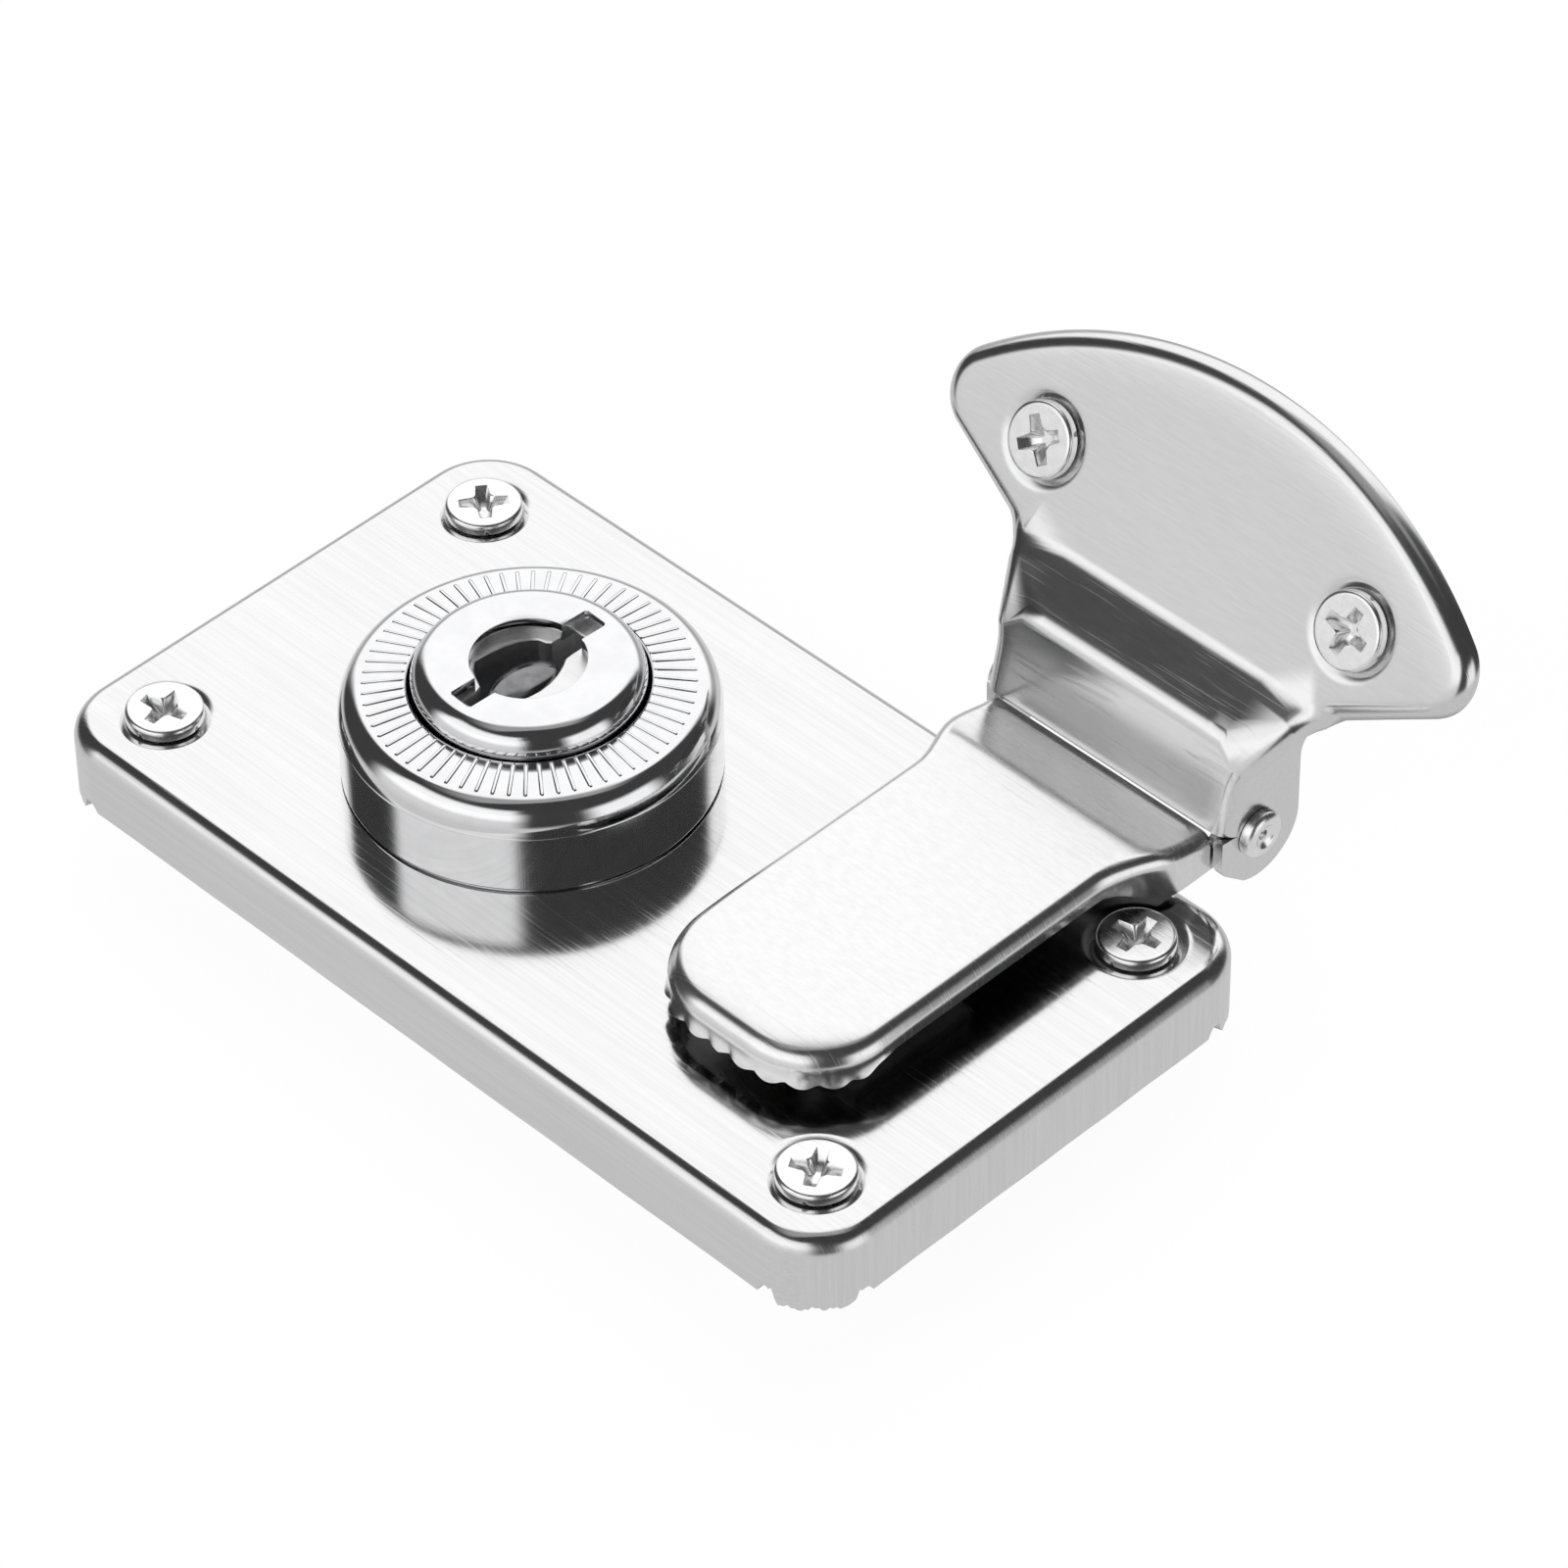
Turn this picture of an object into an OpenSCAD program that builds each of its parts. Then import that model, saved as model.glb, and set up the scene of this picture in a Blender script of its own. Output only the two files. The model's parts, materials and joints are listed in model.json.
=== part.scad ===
// Keyed hasp lock for a cabinet or freezer lid: a pressed base plate with a round key lock, a hollow
// hasp arm that closes over the plate, and a fan-shaped hinge plate on a riveted pin. Millimetres.
// +X runs along the plate from the lock to the arm, +Y from the arm's nose to the hinge, +Z out of the
// plate. The origin lies under the plate's centre, on the plane that the plate's corner feet stand on.

/* [Base plate] */
// Length of the base plate, along X
plate_l = 82; // [78:1:100]
// Width of the base plate, along Y
plate_w = 46.4; // [44:0.2:60]
// Height of the plate's top above the plane its corner feet stand on
plate_h = 6.6; // [6.5:0.1:12]
// Thickness of the pressed base sheet
plate_t = 0.8; // [0.6:0.05:0.9]
// Corner radius of the plate, seen from above
corner_r = 5.8; // [4:0.2:8]
// Outer radius of the bend between the top and the skirt
bend_r = 1.6; // [1.2:0.1:2.2]
// How far the untrimmed corner feet reach below the straight edges
foot_h = 0.4; // [0.2:0.1:1.4]
// Height of the notches on both sides of each foot
foot_notch = 0.8; // [0:0.1:1]

/* [Screws] */
// Distance of the base screws from the plate's short ends
screw_end = 6.5; // [6:0.1:9]
// Distance of the base screws from the plate's long sides
screw_side = 6.7; // [6:0.1:9]
// Diameter of a screw's head
head_d = 6; // [5.4:0.1:6.6]
// How far a screw's head stands above the sheet
head_up = 0.75; // [0.5:0.05:1]
// Diameter of a screw's shank
shank_d = 2.9; // [2.4:0.1:3.2]
// Length of a screw below the sheet's outer face
screw_l = 11.2; // [9:0.2:14]

/* [Lock] */
// Distance of the lock's axis from the plate's left end
lock_end = 30; // [27:0.5:32]
// Distance of the lock's axis in front of the plate's centre line
lock_front = 0.7; // [0:0.1:1.5]
// Diameter of the lock body
body_d = 28.7; // [28:0.1:32]
// Height of the lock body above the plate
body_h = 8.27; // [7.6:0.01:9]
// Wall of the lock body
body_t = 1.2; // [0.8:0.1:1.3]
// Width of the lock body's rounded shoulder, seen from above
shoulder_w = 1.95; // [1.6:0.05:2.2]
// Height of that shoulder
shoulder_h = 2.9; // [2:0.1:3.4]
// Diameter of the boss that holds the keyhole
boss_d = 17.7; // [17.4:0.1:18]
// Width of the groove round the boss
groove = 0.25; // [0.2:0.05:0.8]
// Height of the boss above the plate
boss_h = 10.2; // [10:0.1:11.5]
// Width of the boss's rounded edge, seen from above
boss_edge_w = 1.3; // [0.8:0.1:1.4]
// Height of that edge
boss_edge_h = 1.8; // [1:0.1:2.2]
// Diameter of the keyhole's round part
keyhole_d = 8.8; // [8.6:0.1:9.4]
// Length of the keyhole over both wings
keyhole_l = 13.4; // [13:0.1:14]
// Width of the keyhole's wings
keyhole_w = 2.2; // [2:0.1:2.6]
// Angle of the keyhole from the plate's short side
keyhole_turn = 2.5; // [0:0.5:10]

/* [Bolt] */
// Travel of the bolt
throw = 4; // [3.4:0.1:4.4]
// Thickness of the bolt
bolt_t = 1.4; // [1:0.1:1.5]
// Width of the bolt's nose
bolt_w = 4.8; // [4:0.1:5.6]
// Running clearance of turning and sliding pieces
run = 0.05; // [0.02:0.01:0.08]
// Air between pieces that pass each other
air = 0.15; // [0.1:0.01:0.15]

/* [Arm] */
// Distance of the arm's centre line from the plate's right end
arm_end = 18.75; // [16:0.25:20]
// Width of the arm over its straight sides
arm_w = 19.1; // [18:0.1:21]
// Width of the arm at the hinge
arm_hinge_w = 22.6; // [21.6:0.1:24]
// Height of the arm's top above the plate
arm_h = 5; // [4.8:0.1:6]
// Height of the arm's edge above the plate
arm_lift = 3; // [2:0.1:3.2]
// Height of that edge beside the hinge
tail_lift = 0.5; // [0.4:0.1:1]
// Length of the arm from its nose to the hinge pin
arm_reach = 43; // [40:0.5:44]
// Corner radius of the arm's nose
nose_r = 7; // [5:0.5:8]
// Thickness of the arm's sheet
arm_t = 0.8; // [0.6:0.1:1]
// Outer radius of the arm's rolled edge
arm_bend_r = 1.2; // [1:0.1:1.4]
// Drop of the arm's top where it meets the hinge plate
ramp_drop = 1.3; // [0.8:0.1:1.4]

/* [Hinge] */
// Distance of the hinge pin behind the plate's long side
pin_out = 6; // [5.6:0.1:8]
// Height of the hinge pin above the plate
pin_h = 2.6; // [2.4:0.1:3]
// Diameter of the hinge pin
pin_d = 2.8; // [2.4:0.1:3]
// Thickness of the hinge plate's sheet
fan_t = 0.9; // [0.7:0.1:1]
// Width of the hinge plate across its tips
fan_w = 51.2; // [48:0.1:56]
// Radius of the hinge plate's top arc
fan_r = 37.5; // [34:0.1:40]
// Radius of the hinge plate's tips
tip_r = 3.8; // [2.6:0.1:4.2]
// Height of the hinge plate's face, along its slope
fan_h = 18.9; // [18:0.1:22]
// Distance between the two hinge plate screws
fan_screws = 30.5; // [29:0.5:34]
// Distance of those screws above the upper fold
fan_screw_up = 6.7; // [6:0.1:8]
// Radius of the ears round the pin
ear_r = 4.1; // [3.8:0.1:4.4]

/* [Hidden] */
$fn = 64;
eps = 0.01;
skim = 0.03;

// Places in the part's frame
top = plate_h;
lock_x = lock_end - plate_l / 2;
lock_y = -lock_front;
arm_x = plate_l / 2 - arm_end;
pin_y = plate_w / 2 + pin_out;
pin_z = top + pin_h;
screw_x = plate_l / 2 - screw_end;
screw_y = plate_w / 2 - screw_side;

// Countersunk seats: height of the head's straight edge below the sheet's face, depth of the dimple and of
// the whole seat, and the air round the screw
head_edge = 0.12;
dimple = 0.4;
seat_h = 1.5;
seat_air = 0.05;

// Turn of each screw's cross, one value per screw
base_cross = [12, -38, 30, 8];
fan_cross = [35, 78];

// Steps round each corner of a pressed sheet, and round its bend
corner_steps = 14;
bend_steps = 6;

// Mechanism under the plate, all depths below the plate's top
nut_t = 1.4;
cam_t = 0.9;
gap_z = 0.15;
case_t = 0.6;
nut_bottom = plate_t + nut_t;
cam_top = nut_bottom + gap_z;
cam_bottom = cam_top + cam_t;
bolt_top = cam_bottom + gap_z;
bolt_bottom = bolt_top + bolt_t;
case_top = bolt_bottom + gap_z * 2 / 3;

// Stack inside the lock body, heights above the plate's top
flange_t = 1.4;
housing_roof = 0.8;
cap_t = 0.75;
barrel_r = 6.45;
stem_r = 5;
plug_r = 7.4;
housing_wall = 0.85;
chamber_top = boss_h - cap_t - housing_roof;
tang = [7, 2.4];
cam_r = 5.7;
pin_orbit = throw / (2 * sin(45));
cam_pin_r = 0.9;
nut_r = barrel_r + 2.75;

// Bolt: the yoke's length, width and reach behind the lock's axis, the air of the drive pin's slot across
// and along it, the corners of the nose and its distance from the catch at rest
yoke = [17, 18];
yoke_back = 9;
slot_air = 0.12;
slot_over = 0.4;
bolt_corner = 0.8;
nose_gap = 0.5;

// Case: its length, reach behind the lock's axis, air beside the yoke, width of its feet, and the two ribs
// that guide the bolt's nose
case_l = 35;
case_back = 11.5;
case_side = 0.7;
case_foot = 3;
rib_l = 9;
rib_t = 1;

// Wafers: distance from the axis, width, thickness, height of the lowest and of each next level; the tab on
// the side that its spring pushes, and the air round a wafer in its pocket
wafer_from = 4.4;
wafer_w = 4.8;
wafer_t = 1;
wafer_low = 3.2;
wafer_step = 1.7;
wafer_tab = 0.7;
wafer_tab_w = 1.1;
wafer_air = 0.05;
spring_r = 0.45;
spring_l = 1.36;

// Catch under the arm
catch_t = 1.2;
catch_l = 7;
tongue_w = 8;
tongue_r = 1.2;
shoulder_side = 2;
window_air = 0.2;
slot_side = 0.5;
slot_swing = 1.5;

// Keyhole: depths of the plug's face and of the guide post's top below the boss, the post's radius and
// its dome, and the bore round it
face_drop = 1.35;
post_drop = 1.2;
post_r = 2.75;
post_dome = 5;
bore_r = 3;
bore_floor = 2;

// Scallops round the arm's nose: how much deeper the edge is there, and their height
nose_skirt = 0.9;
scallop = 0.3;

// Profile of the hinge plate, from the gap line at the arm up to its face
gap_line = 0.2;
strip_tilt = 77;
joggle_tilt = 32;
face_tilt = 62.5;
strip_l = 6.76;
joggle_l = 4.07;
fold_r = 2.2;
strip_y = pin_y - 3.4;
strip_z = pin_z + 1.1;

// Arc of points round a centre, of a circle or of an upright ellipse with its two half axes
function arc(c, r, a0, a1, n) = [for (i = [0:n]) let(a = a0 + (a1 - a0) * i / n) c + r * [cos(a), sin(a)]];
function oval(c, half, a0, a1, n) = [
    for (i = [0:n]) let(a = a0 + (a1 - a0) * i / n) c + [half[0] * cos(a), half[1] * sin(a)]
];

// Smooth step from 0 to 1 between two values
function ease(v, from, to) = let(t = min(max((v - from) / (to - from), 0), 1)) t * t * (3 - 2 * t);

// One closed line of points: a half outline and its mirror image, each point placed at its own depth
function loop_of(half, depths, place) = let(n = len(half)) concat(
    [for (i = [0:n - 1]) place(half[i][0], half[i][1], depths[i])],
    [for (i = [n - 1:-1:0]) place(-half[i][0], half[i][1], depths[i])]
);

// Same depth for every point of a half outline
function level(half, depth) = [for (p = half) depth];

// Closed lines of a pressed sheet, from the middle of its outer face over its edge to its inner face.
// outline(inset) gives the half outline, edge(point) the depth of the sheet's edge at a point.
function sheet_loops(outline, edge, radius, thickness, place) = let(
    inner = max(radius - thickness, 0.2),
    rim = outline(0),
    depths = [for (p = rim) edge(p)]
) concat(
    [for (i = [0:bend_steps]) let(
        a = 90 * i / bend_steps, half = outline(radius * (1 - sin(a)))
    ) loop_of(half, level(half, radius * (1 - cos(a))), place)],
    [loop_of(rim, depths, place), loop_of(outline(thickness), depths, place)],
    [for (i = [bend_steps:-1:0]) let(
        a = 90 * i / bend_steps, half = outline(thickness + inner * (1 - sin(a)))
    ) loop_of(half, level(half, thickness + inner * (1 - cos(a))), place)]
);

// Solid skin through a list of closed lines, each end closed by strips across the half outline
module skin(loops) {
    m = len(loops[0]);
    n = m / 2;
    last = (len(loops) - 1) * m;
    points = [for (line = loops) for (p = line) p];
    walls = [
        for (k = [0:len(loops) - 2]) for (i = [0:m - 1]) for (f = [
            [k * m + i, (k + 1) * m + (i + 1) % m, (k + 1) * m + i],
            [k * m + i, k * m + (i + 1) % m, (k + 1) * m + (i + 1) % m]
        ]) f
    ];
    first_cap = [for (j = [0:n - 2]) for (f = [[j, m - 2 - j, j + 1], [j, m - 1 - j, m - 2 - j]]) f];
    last_cap = [for (f = first_cap) [last + f[0], last + f[2], last + f[1]]];
    polyhedron(points = points, faces = concat(walls, first_cap, last_cap), convexity = 10);
}

// Half outline of the base plate
function plate_outline(inset) = let(
    r = corner_r - inset, x = plate_l / 2 - corner_r, y = plate_w / 2 - corner_r
) concat(arc([x, -y], r, -90, 0, corner_steps), arc([x, y], r, 0, 90, corner_steps));

// Triangular bump of height 1 round a value
function bump(v, at, half) = max(0, 1 - abs(v - at) / half);

// Depth of the plate's edge: straight sides, and at each corner a foot between two notches
function plate_edge(p) = let(
    x = plate_l / 2 - corner_r, y = plate_w / 2 - corner_r,
    a = atan2(max(abs(p[1]) - y, 0), max(p[0] - x, eps)),
    turn = min(a, 90 - a),
    foot = min(1, max(0, (turn - 15) / 5)) * (1 - 0.6 * bump(turn, 45, 5))
) plate_h - foot_h * (1 - foot) - foot_notch * bump(turn, 9, 8);

// Point of the base plate's sheet
function on_plate(x, y, depth) = [x, y, top - depth];

// Radius of a screw's countersunk head at a height from the sheet's face, never less than its shank
function sink_r(z) = max(head_d / 2 + min(z + head_edge, 0), shank_d / 2);

// Cut through a sheet for a countersunk screw, with a dimple round it; the sheet's face is at z = 0
module screw_seat_cut(thickness) {
    translate([0, 0, -dimple])
        cylinder(h = dimple + eps, r1 = sink_r(-dimple) + seat_air, r2 = head_d / 2 + 0.9);
    translate([0, 0, -seat_h])
        cylinder(h = seat_h - dimple + eps, r1 = sink_r(-seat_h) + seat_air, r2 = sink_r(-dimple) + seat_air);
    translate([0, 0, -thickness - 3]) cylinder(h = 3 + thickness, r = shank_d / 2 + seat_air);
}

// Sheet pressed down round a screw; the sheet's face is at z = 0
module screw_seat(thickness) {
    translate([0, 0, -seat_h])
        cylinder(h = seat_h - thickness / 2, r1 = shank_d / 2 + 1.05, r2 = head_d / 2 + 1.3);
}

// Countersunk screw with a cross recess; the sheet's face is at z = 0
module screw(turn) {
    r = head_d / 2;
    s = shank_d / 2;
    crown = 0.3;
    difference() {
        rotate_extrude() polygon(concat(
            [[0, -screw_l], [s * 0.25, -screw_l], [s, -screw_l + 2], [s, s - r - head_edge], [r, -head_edge]],
            arc([r - crown, head_up - crown], crown, 0, 90, 4),
            [[0, head_up]]
        ));
        for (a = [0, 90]) rotate([0, 0, turn + a]) translate([-1.85, -0.4, head_up - 1])
            cube([3.7, 0.8, 1 + eps]);
    }
}

// Places of the four base screws
module at_base_screws() {
    for (i = [0:3]) translate([(i < 2 ? -1 : 1) * screw_x, (i % 2 == 0 ? -1 : 1) * screw_y, top])
        let($cross = base_cross[i]) children();
}

module base_plate() {
    color("silver") difference() {
        union() {
            skin(sheet_loops(function(i) plate_outline(i), function(p) plate_edge(p), bend_r, plate_t,
                function(x, y, d) on_plate(x, y, d)));
            at_base_screws() screw_seat(plate_t);
        }
        at_base_screws() screw_seat_cut(plate_t);
        translate([lock_x, lock_y, top - plate_t - 1]) cylinder(h = plate_t + 2, r = barrel_r + air);
        translate([arm_x - catch_t / 2 - slot_side, lock_y - tongue_w / 2 - slot_swing, top - plate_t - 1])
            cube([catch_t + 2 * slot_side, tongue_w + slot_swing + slot_side, plate_t + 2]);
    }
}

module base_screws() {
    color("gainsboro") at_base_screws() screw($cross);
}

// Moves its children to the lock's axis on the plate's top
module at_lock() {
    translate([lock_x, lock_y, top]) children();
}

// Keyhole outline, a disc with two wings
module keyhole_shape(grow) {
    circle(d = keyhole_d + 2 * grow);
    rotate(-keyhole_turn) square([keyhole_w + 2 * grow, keyhole_l + 2 * grow], center = true);
}

module lock_body() {
    r = body_d / 2;
    hole_r = boss_d / 2 + groove;
    outer = [shoulder_w, shoulder_h];
    inner = [shoulder_w - body_t, shoulder_h - body_t];
    centre = [r - shoulder_w, body_h - shoulder_h];
    color("whitesmoke") at_lock() rotate_extrude($fn = 96) polygon(concat(
        [[r, 0]],
        oval(centre, outer, 0, 90, 10),
        [[hole_r, body_h - 0.12], [hole_r, body_h - body_t]],
        oval(centre, inner, 90, 0, 8),
        [[r - body_t, 0]]
    ));
}

module keyhole_cap() {
    r = boss_d / 2;
    inner = plug_r + run + housing_wall + run;
    skirt = body_h - body_t - 1;
    color("white") at_lock() difference() {
        rotate_extrude($fn = 96) polygon(concat(
            [[r, skirt]],
            oval([r - boss_edge_w, boss_h - boss_edge_h], [boss_edge_w, boss_edge_h], 0, 90, 8),
            [[0, boss_h], [0, boss_h - cap_t], [inner, boss_h - cap_t], [inner, skirt]]
        ));
        translate([0, 0, boss_h - cap_t - 1]) linear_extrude(cap_t + 2) keyhole_shape(0);
    }
}

module cylinder_housing() {
    bore = plug_r + run;
    outer = bore + housing_wall;
    foot_r = body_d / 2 - body_t - run;
    color("darkgray") at_lock() difference() {
        union() {
            translate([0, 0, flange_t]) cylinder(h = boss_h - cap_t - flange_t, r = outer);
            translate([0, 0, flange_t]) cylinder(h = flange_t, r = foot_r);
        }
        translate([0, 0, flange_t - 1]) cylinder(h = chamber_top - flange_t + 1, r = bore);
        translate([0, 0, chamber_top - 1]) linear_extrude(housing_roof + 2) keyhole_shape(0);
    }
}

module mounting_bush() {
    color("darkgray") at_lock() difference() {
        union() {
            cylinder(h = flange_t, r = body_d / 2 - body_t - run);
            translate([0, 0, -nut_bottom]) cylinder(h = nut_bottom + eps, r = barrel_r);
        }
        translate([0, 0, -nut_bottom - 1]) cylinder(h = nut_bottom + flange_t + 2, r = stem_r + run);
    }
}

module lock_nut() {
    color("darkgray") at_lock() translate([0, 0, -nut_bottom]) difference() {
        cylinder(h = nut_t, r = nut_r, $fn = 6);
        translate([0, 0, -1]) cylinder(h = nut_t + 2, r = barrel_r + 0.02);
    }
}

// Bent channel under the plate that carries the bolt
module lock_case() {
    inside_w = yoke[1] + 2 * case_side;
    depth = case_top + case_t;
    color("slategray") translate([lock_x - case_back, lock_y, top]) {
        translate([0, -inside_w / 2 - case_t, -depth]) cube([case_l, inside_w + 2 * case_t, case_t]);
        for (side = [-1, 1]) {
            translate([0, side * (inside_w + case_t) / 2 - case_t / 2, -depth])
                cube([case_l, case_t, depth - plate_t]);
            translate([0, side * (inside_w + case_foot) / 2 - case_foot / 2, -plate_t - case_t])
                cube([case_l, case_foot, case_t]);
            translate([case_l - rib_l, side * (bolt_w / 2 + air + rib_t / 2) - rib_t / 2, -depth])
                cube([rib_l, rib_t, case_t + rib_t]);
        }
    }
}

// Pockets for the sliding wafers, at three levels on both sides of the plug
module at_wafers() {
    for (level = [0:2]) for (side = [0, 180])
        rotate([0, 0, side - keyhole_turn]) translate([0, 0, wafer_low + wafer_step * level]) children();
}

// Flat tang at the plug's lower end that drives the cam, seen from above
module tang_shape(grow) {
    rotate(45) square([tang[0] + 2 * grow, tang[1] + 2 * grow], center = true);
}

module key_plug() {
    neck_r = keyhole_d / 2 - run;
    pocket = wafer_t + 2 * wafer_air;
    color("gainsboro") at_lock() difference() {
        union() {
            translate([0, 0, flange_t + run]) cylinder(h = chamber_top - flange_t - 2 * run, r = plug_r);
            cylinder(h = boss_h - face_drop, r = neck_r);
            translate([0, 0, -nut_bottom]) cylinder(h = nut_bottom + flange_t + 2 * run, r = stem_r);
            translate([0, 0, -cam_bottom]) linear_extrude(cam_t + gap_z + eps) tang_shape(0);
        }
        translate([0, 0, bore_floor]) cylinder(h = boss_h, r = bore_r);
        rotate([0, 0, -keyhole_turn]) translate([-keyhole_w / 2, -keyhole_l / 2, bore_floor])
            cube([keyhole_w, keyhole_l, boss_h]);
        at_wafers() translate([wafer_from - 0.8, -wafer_w / 2 - wafer_air, -wafer_air]) {
            cube([plug_r, wafer_w + 2 * wafer_air, pocket]);
            translate([0.6, 0, 0]) cube([2.3, wafer_w + 2 * wafer_air + 1.2, pocket]);
        }
    }
}

module guide_post() {
    dome_z = boss_h - post_drop - post_dome;
    color("dimgray") at_lock() rotate_extrude() polygon(concat(
        [[0, bore_floor], [post_r, bore_floor]],
        [for (i = [0:6]) let(x = post_r * (1 - i / 6)) [x, dome_z + sqrt(post_dome * post_dome - x * x)]]
    ));
}

module wafers() {
    color("goldenrod") at_lock() at_wafers() intersection() {
        union() {
            translate([wafer_from, -wafer_w / 2, 0]) cube([plug_r - wafer_from, wafer_w, wafer_t]);
            translate([wafer_from + 1.2, wafer_w / 2 - 0.1, 0]) cube([wafer_tab, wafer_tab_w, wafer_t]);
        }
        translate([0, 0, -1]) cylinder(h = wafer_t + 2, r = plug_r - 0.1);
    }
}

module wafer_springs() {
    color("silver") at_lock() at_wafers() translate([wafer_from - 0.18, wafer_w / 2 + 0.55, wafer_t / 2])
        rotate([0, 90, 0]) difference() {
            cylinder(h = spring_l, r = spring_r, $fn = 24);
            translate([0, 0, -1]) cylinder(h = spring_l + 2, r = spring_r - 0.2, $fn = 24);
        }
}

// Place of the cam's drive pin, on the plug's left rear at rest
module at_cam_pin() {
    at_lock() translate([-pin_orbit * sin(45), pin_orbit * cos(45), 0]) children();
}

module drive_cam() {
    color("darkgray") difference() {
        at_lock() difference() {
            translate([0, 0, -cam_bottom]) cylinder(h = cam_t, r = cam_r);
            translate([0, 0, -cam_bottom - 1]) linear_extrude(cam_t + 2) tang_shape(0.02);
        }
        at_cam_pin() translate([0, 0, -cam_bottom - 1]) cylinder(h = cam_t + 2, r = cam_pin_r + 0.01);
    }
}

module cam_pin() {
    color("silver") at_cam_pin() translate([0, 0, -bolt_bottom + 0.1])
        cylinder(h = bolt_bottom - cam_top - 0.1, r = cam_pin_r);
}

// Sliding bolt: a yoke round the cam pin, and a nose that reaches the catch
module bolt() {
    tail = lock_x - yoke_back;
    corner_x = arm_x - catch_t / 2 - nose_gap - bolt_corner;
    slot_w = 2 * (cam_pin_r + slot_air);
    slot_from = pin_orbit * cos(45) - cam_pin_r - slot_over;
    slot_to = pin_orbit + cam_pin_r + slot_over;
    color("lightsteelblue") difference() {
        translate([0, lock_y, top - bolt_bottom]) {
            translate([tail, -yoke[1] / 2, 0]) cube([yoke[0], yoke[1], bolt_t]);
            translate([tail, -bolt_w / 2, 0]) cube([corner_x - tail, bolt_w, bolt_t]);
            translate([corner_x - eps, -bolt_w / 2 + bolt_corner, 0])
                cube([bolt_corner + eps, bolt_w - 2 * bolt_corner, bolt_t]);
            for (side = [-1, 1]) translate([corner_x, side * (bolt_w / 2 - bolt_corner), 0])
                cylinder(h = bolt_t, r = bolt_corner);
        }
        translate([lock_x - pin_orbit * sin(45) - slot_w / 2, lock_y + slot_from, top - bolt_bottom - 1])
            cube([slot_w, slot_to - slot_from, bolt_t + 2]);
    }
}

// Half outline of the arm: a rounded nose, straight sides and a wider hinge end
arm_nose_y = pin_y - arm_reach;
arm_tail_y = strip_y - gap_line;
function arm_half_w(y) = arm_w / 2 + (arm_hinge_w - arm_w) / 2 * ease(y, arm_tail_y - 10, arm_tail_y - 3.5);
function arm_outline(inset) = concat(
    arc([arm_w / 2 - nose_r, arm_nose_y + nose_r], nose_r - inset, -90, 0, corner_steps),
    [for (i = [0:8]) let(y = arm_tail_y - 10 + i * 0.8125) [arm_half_w(y) - inset, y]],
    [[arm_half_w(arm_tail_y) - inset, arm_tail_y - 2], [arm_half_w(arm_tail_y) - inset, arm_tail_y + 3 - inset]]
);

// Height of the arm's top above the plate, which falls towards the hinge
function arm_top(y) = arm_h - ramp_drop * ease(y, arm_tail_y - 6.5, arm_tail_y - 2.3);

// Depth of the arm's edge, deeper and scalloped round the nose, and deeper again beside the hinge
function arm_edge(p) = let(
    a = atan2(p[0] - arm_w / 2 + nose_r, arm_nose_y + nose_r - p[1]),
    nose = 1 - ease(p[1], arm_nose_y + nose_r * 0.4, arm_nose_y + nose_r),
    rim = arm_lift - (arm_lift - tail_lift) * ease(p[1], arm_tail_y - 10.5, arm_tail_y - 3.5)
) arm_top(p[1]) - rim + nose * (nose_skirt + scallop * cos(8 * a));

function on_arm(x, y, depth) = [arm_x + x, y, top + arm_top(y) - depth];

// Plate of the arm beside the hinge pin, as an outline in the YZ plane
module lug_shape() {
    lug_r = pin_d / 2 + 0.7;
    root = arm_tail_y - 5;
    bottom = top + tail_lift;
    union() {
        translate([pin_y, pin_z]) circle(r = lug_r);
        polygon([
            [root, bottom + 0.6], [root, bottom + 1.4], [arm_tail_y - 0.1, top + arm_h - ramp_drop - 0.9],
            [arm_tail_y + 1, strip_z - 0.5], [pin_y - 1.9, strip_z - 0.45], [pin_y, pin_z],
            [pin_y - 0.8, pin_z - lug_r + 0.1], [arm_tail_y, bottom], [arm_tail_y - 2, bottom]
        ]);
    }
}

// Extrudes a YZ outline into a plate on both sides of the arm's centre line, set just inside the sheet's
// two faces so that it starts within the pressed side wall
module side_plates(outer_half, thickness) {
    for (x = [arm_x - outer_half, arm_x + outer_half - thickness])
        translate([x + skim, 0, 0]) rotate([90, 0, 90]) linear_extrude(thickness - 2 * skim) children();
}

module arm() {
    half = arm_hinge_w / 2;
    color("white") difference() {
        union() {
            difference() {
                skin(sheet_loops(function(i) arm_outline(i), function(p) arm_edge(p), arm_bend_r, arm_t,
                    function(x, y, d) on_arm(x, y, d)));
                translate([arm_x - 20, arm_tail_y, top - 5]) cube([40, 10, 20]);
            }
            side_plates(half, arm_t) lug_shape();
        }
        translate([arm_x - half - 1, pin_y, pin_z]) rotate([0, 90, 0])
            cylinder(h = 2 * half + 2, d = pin_d + 0.04);
    }
}

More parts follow.
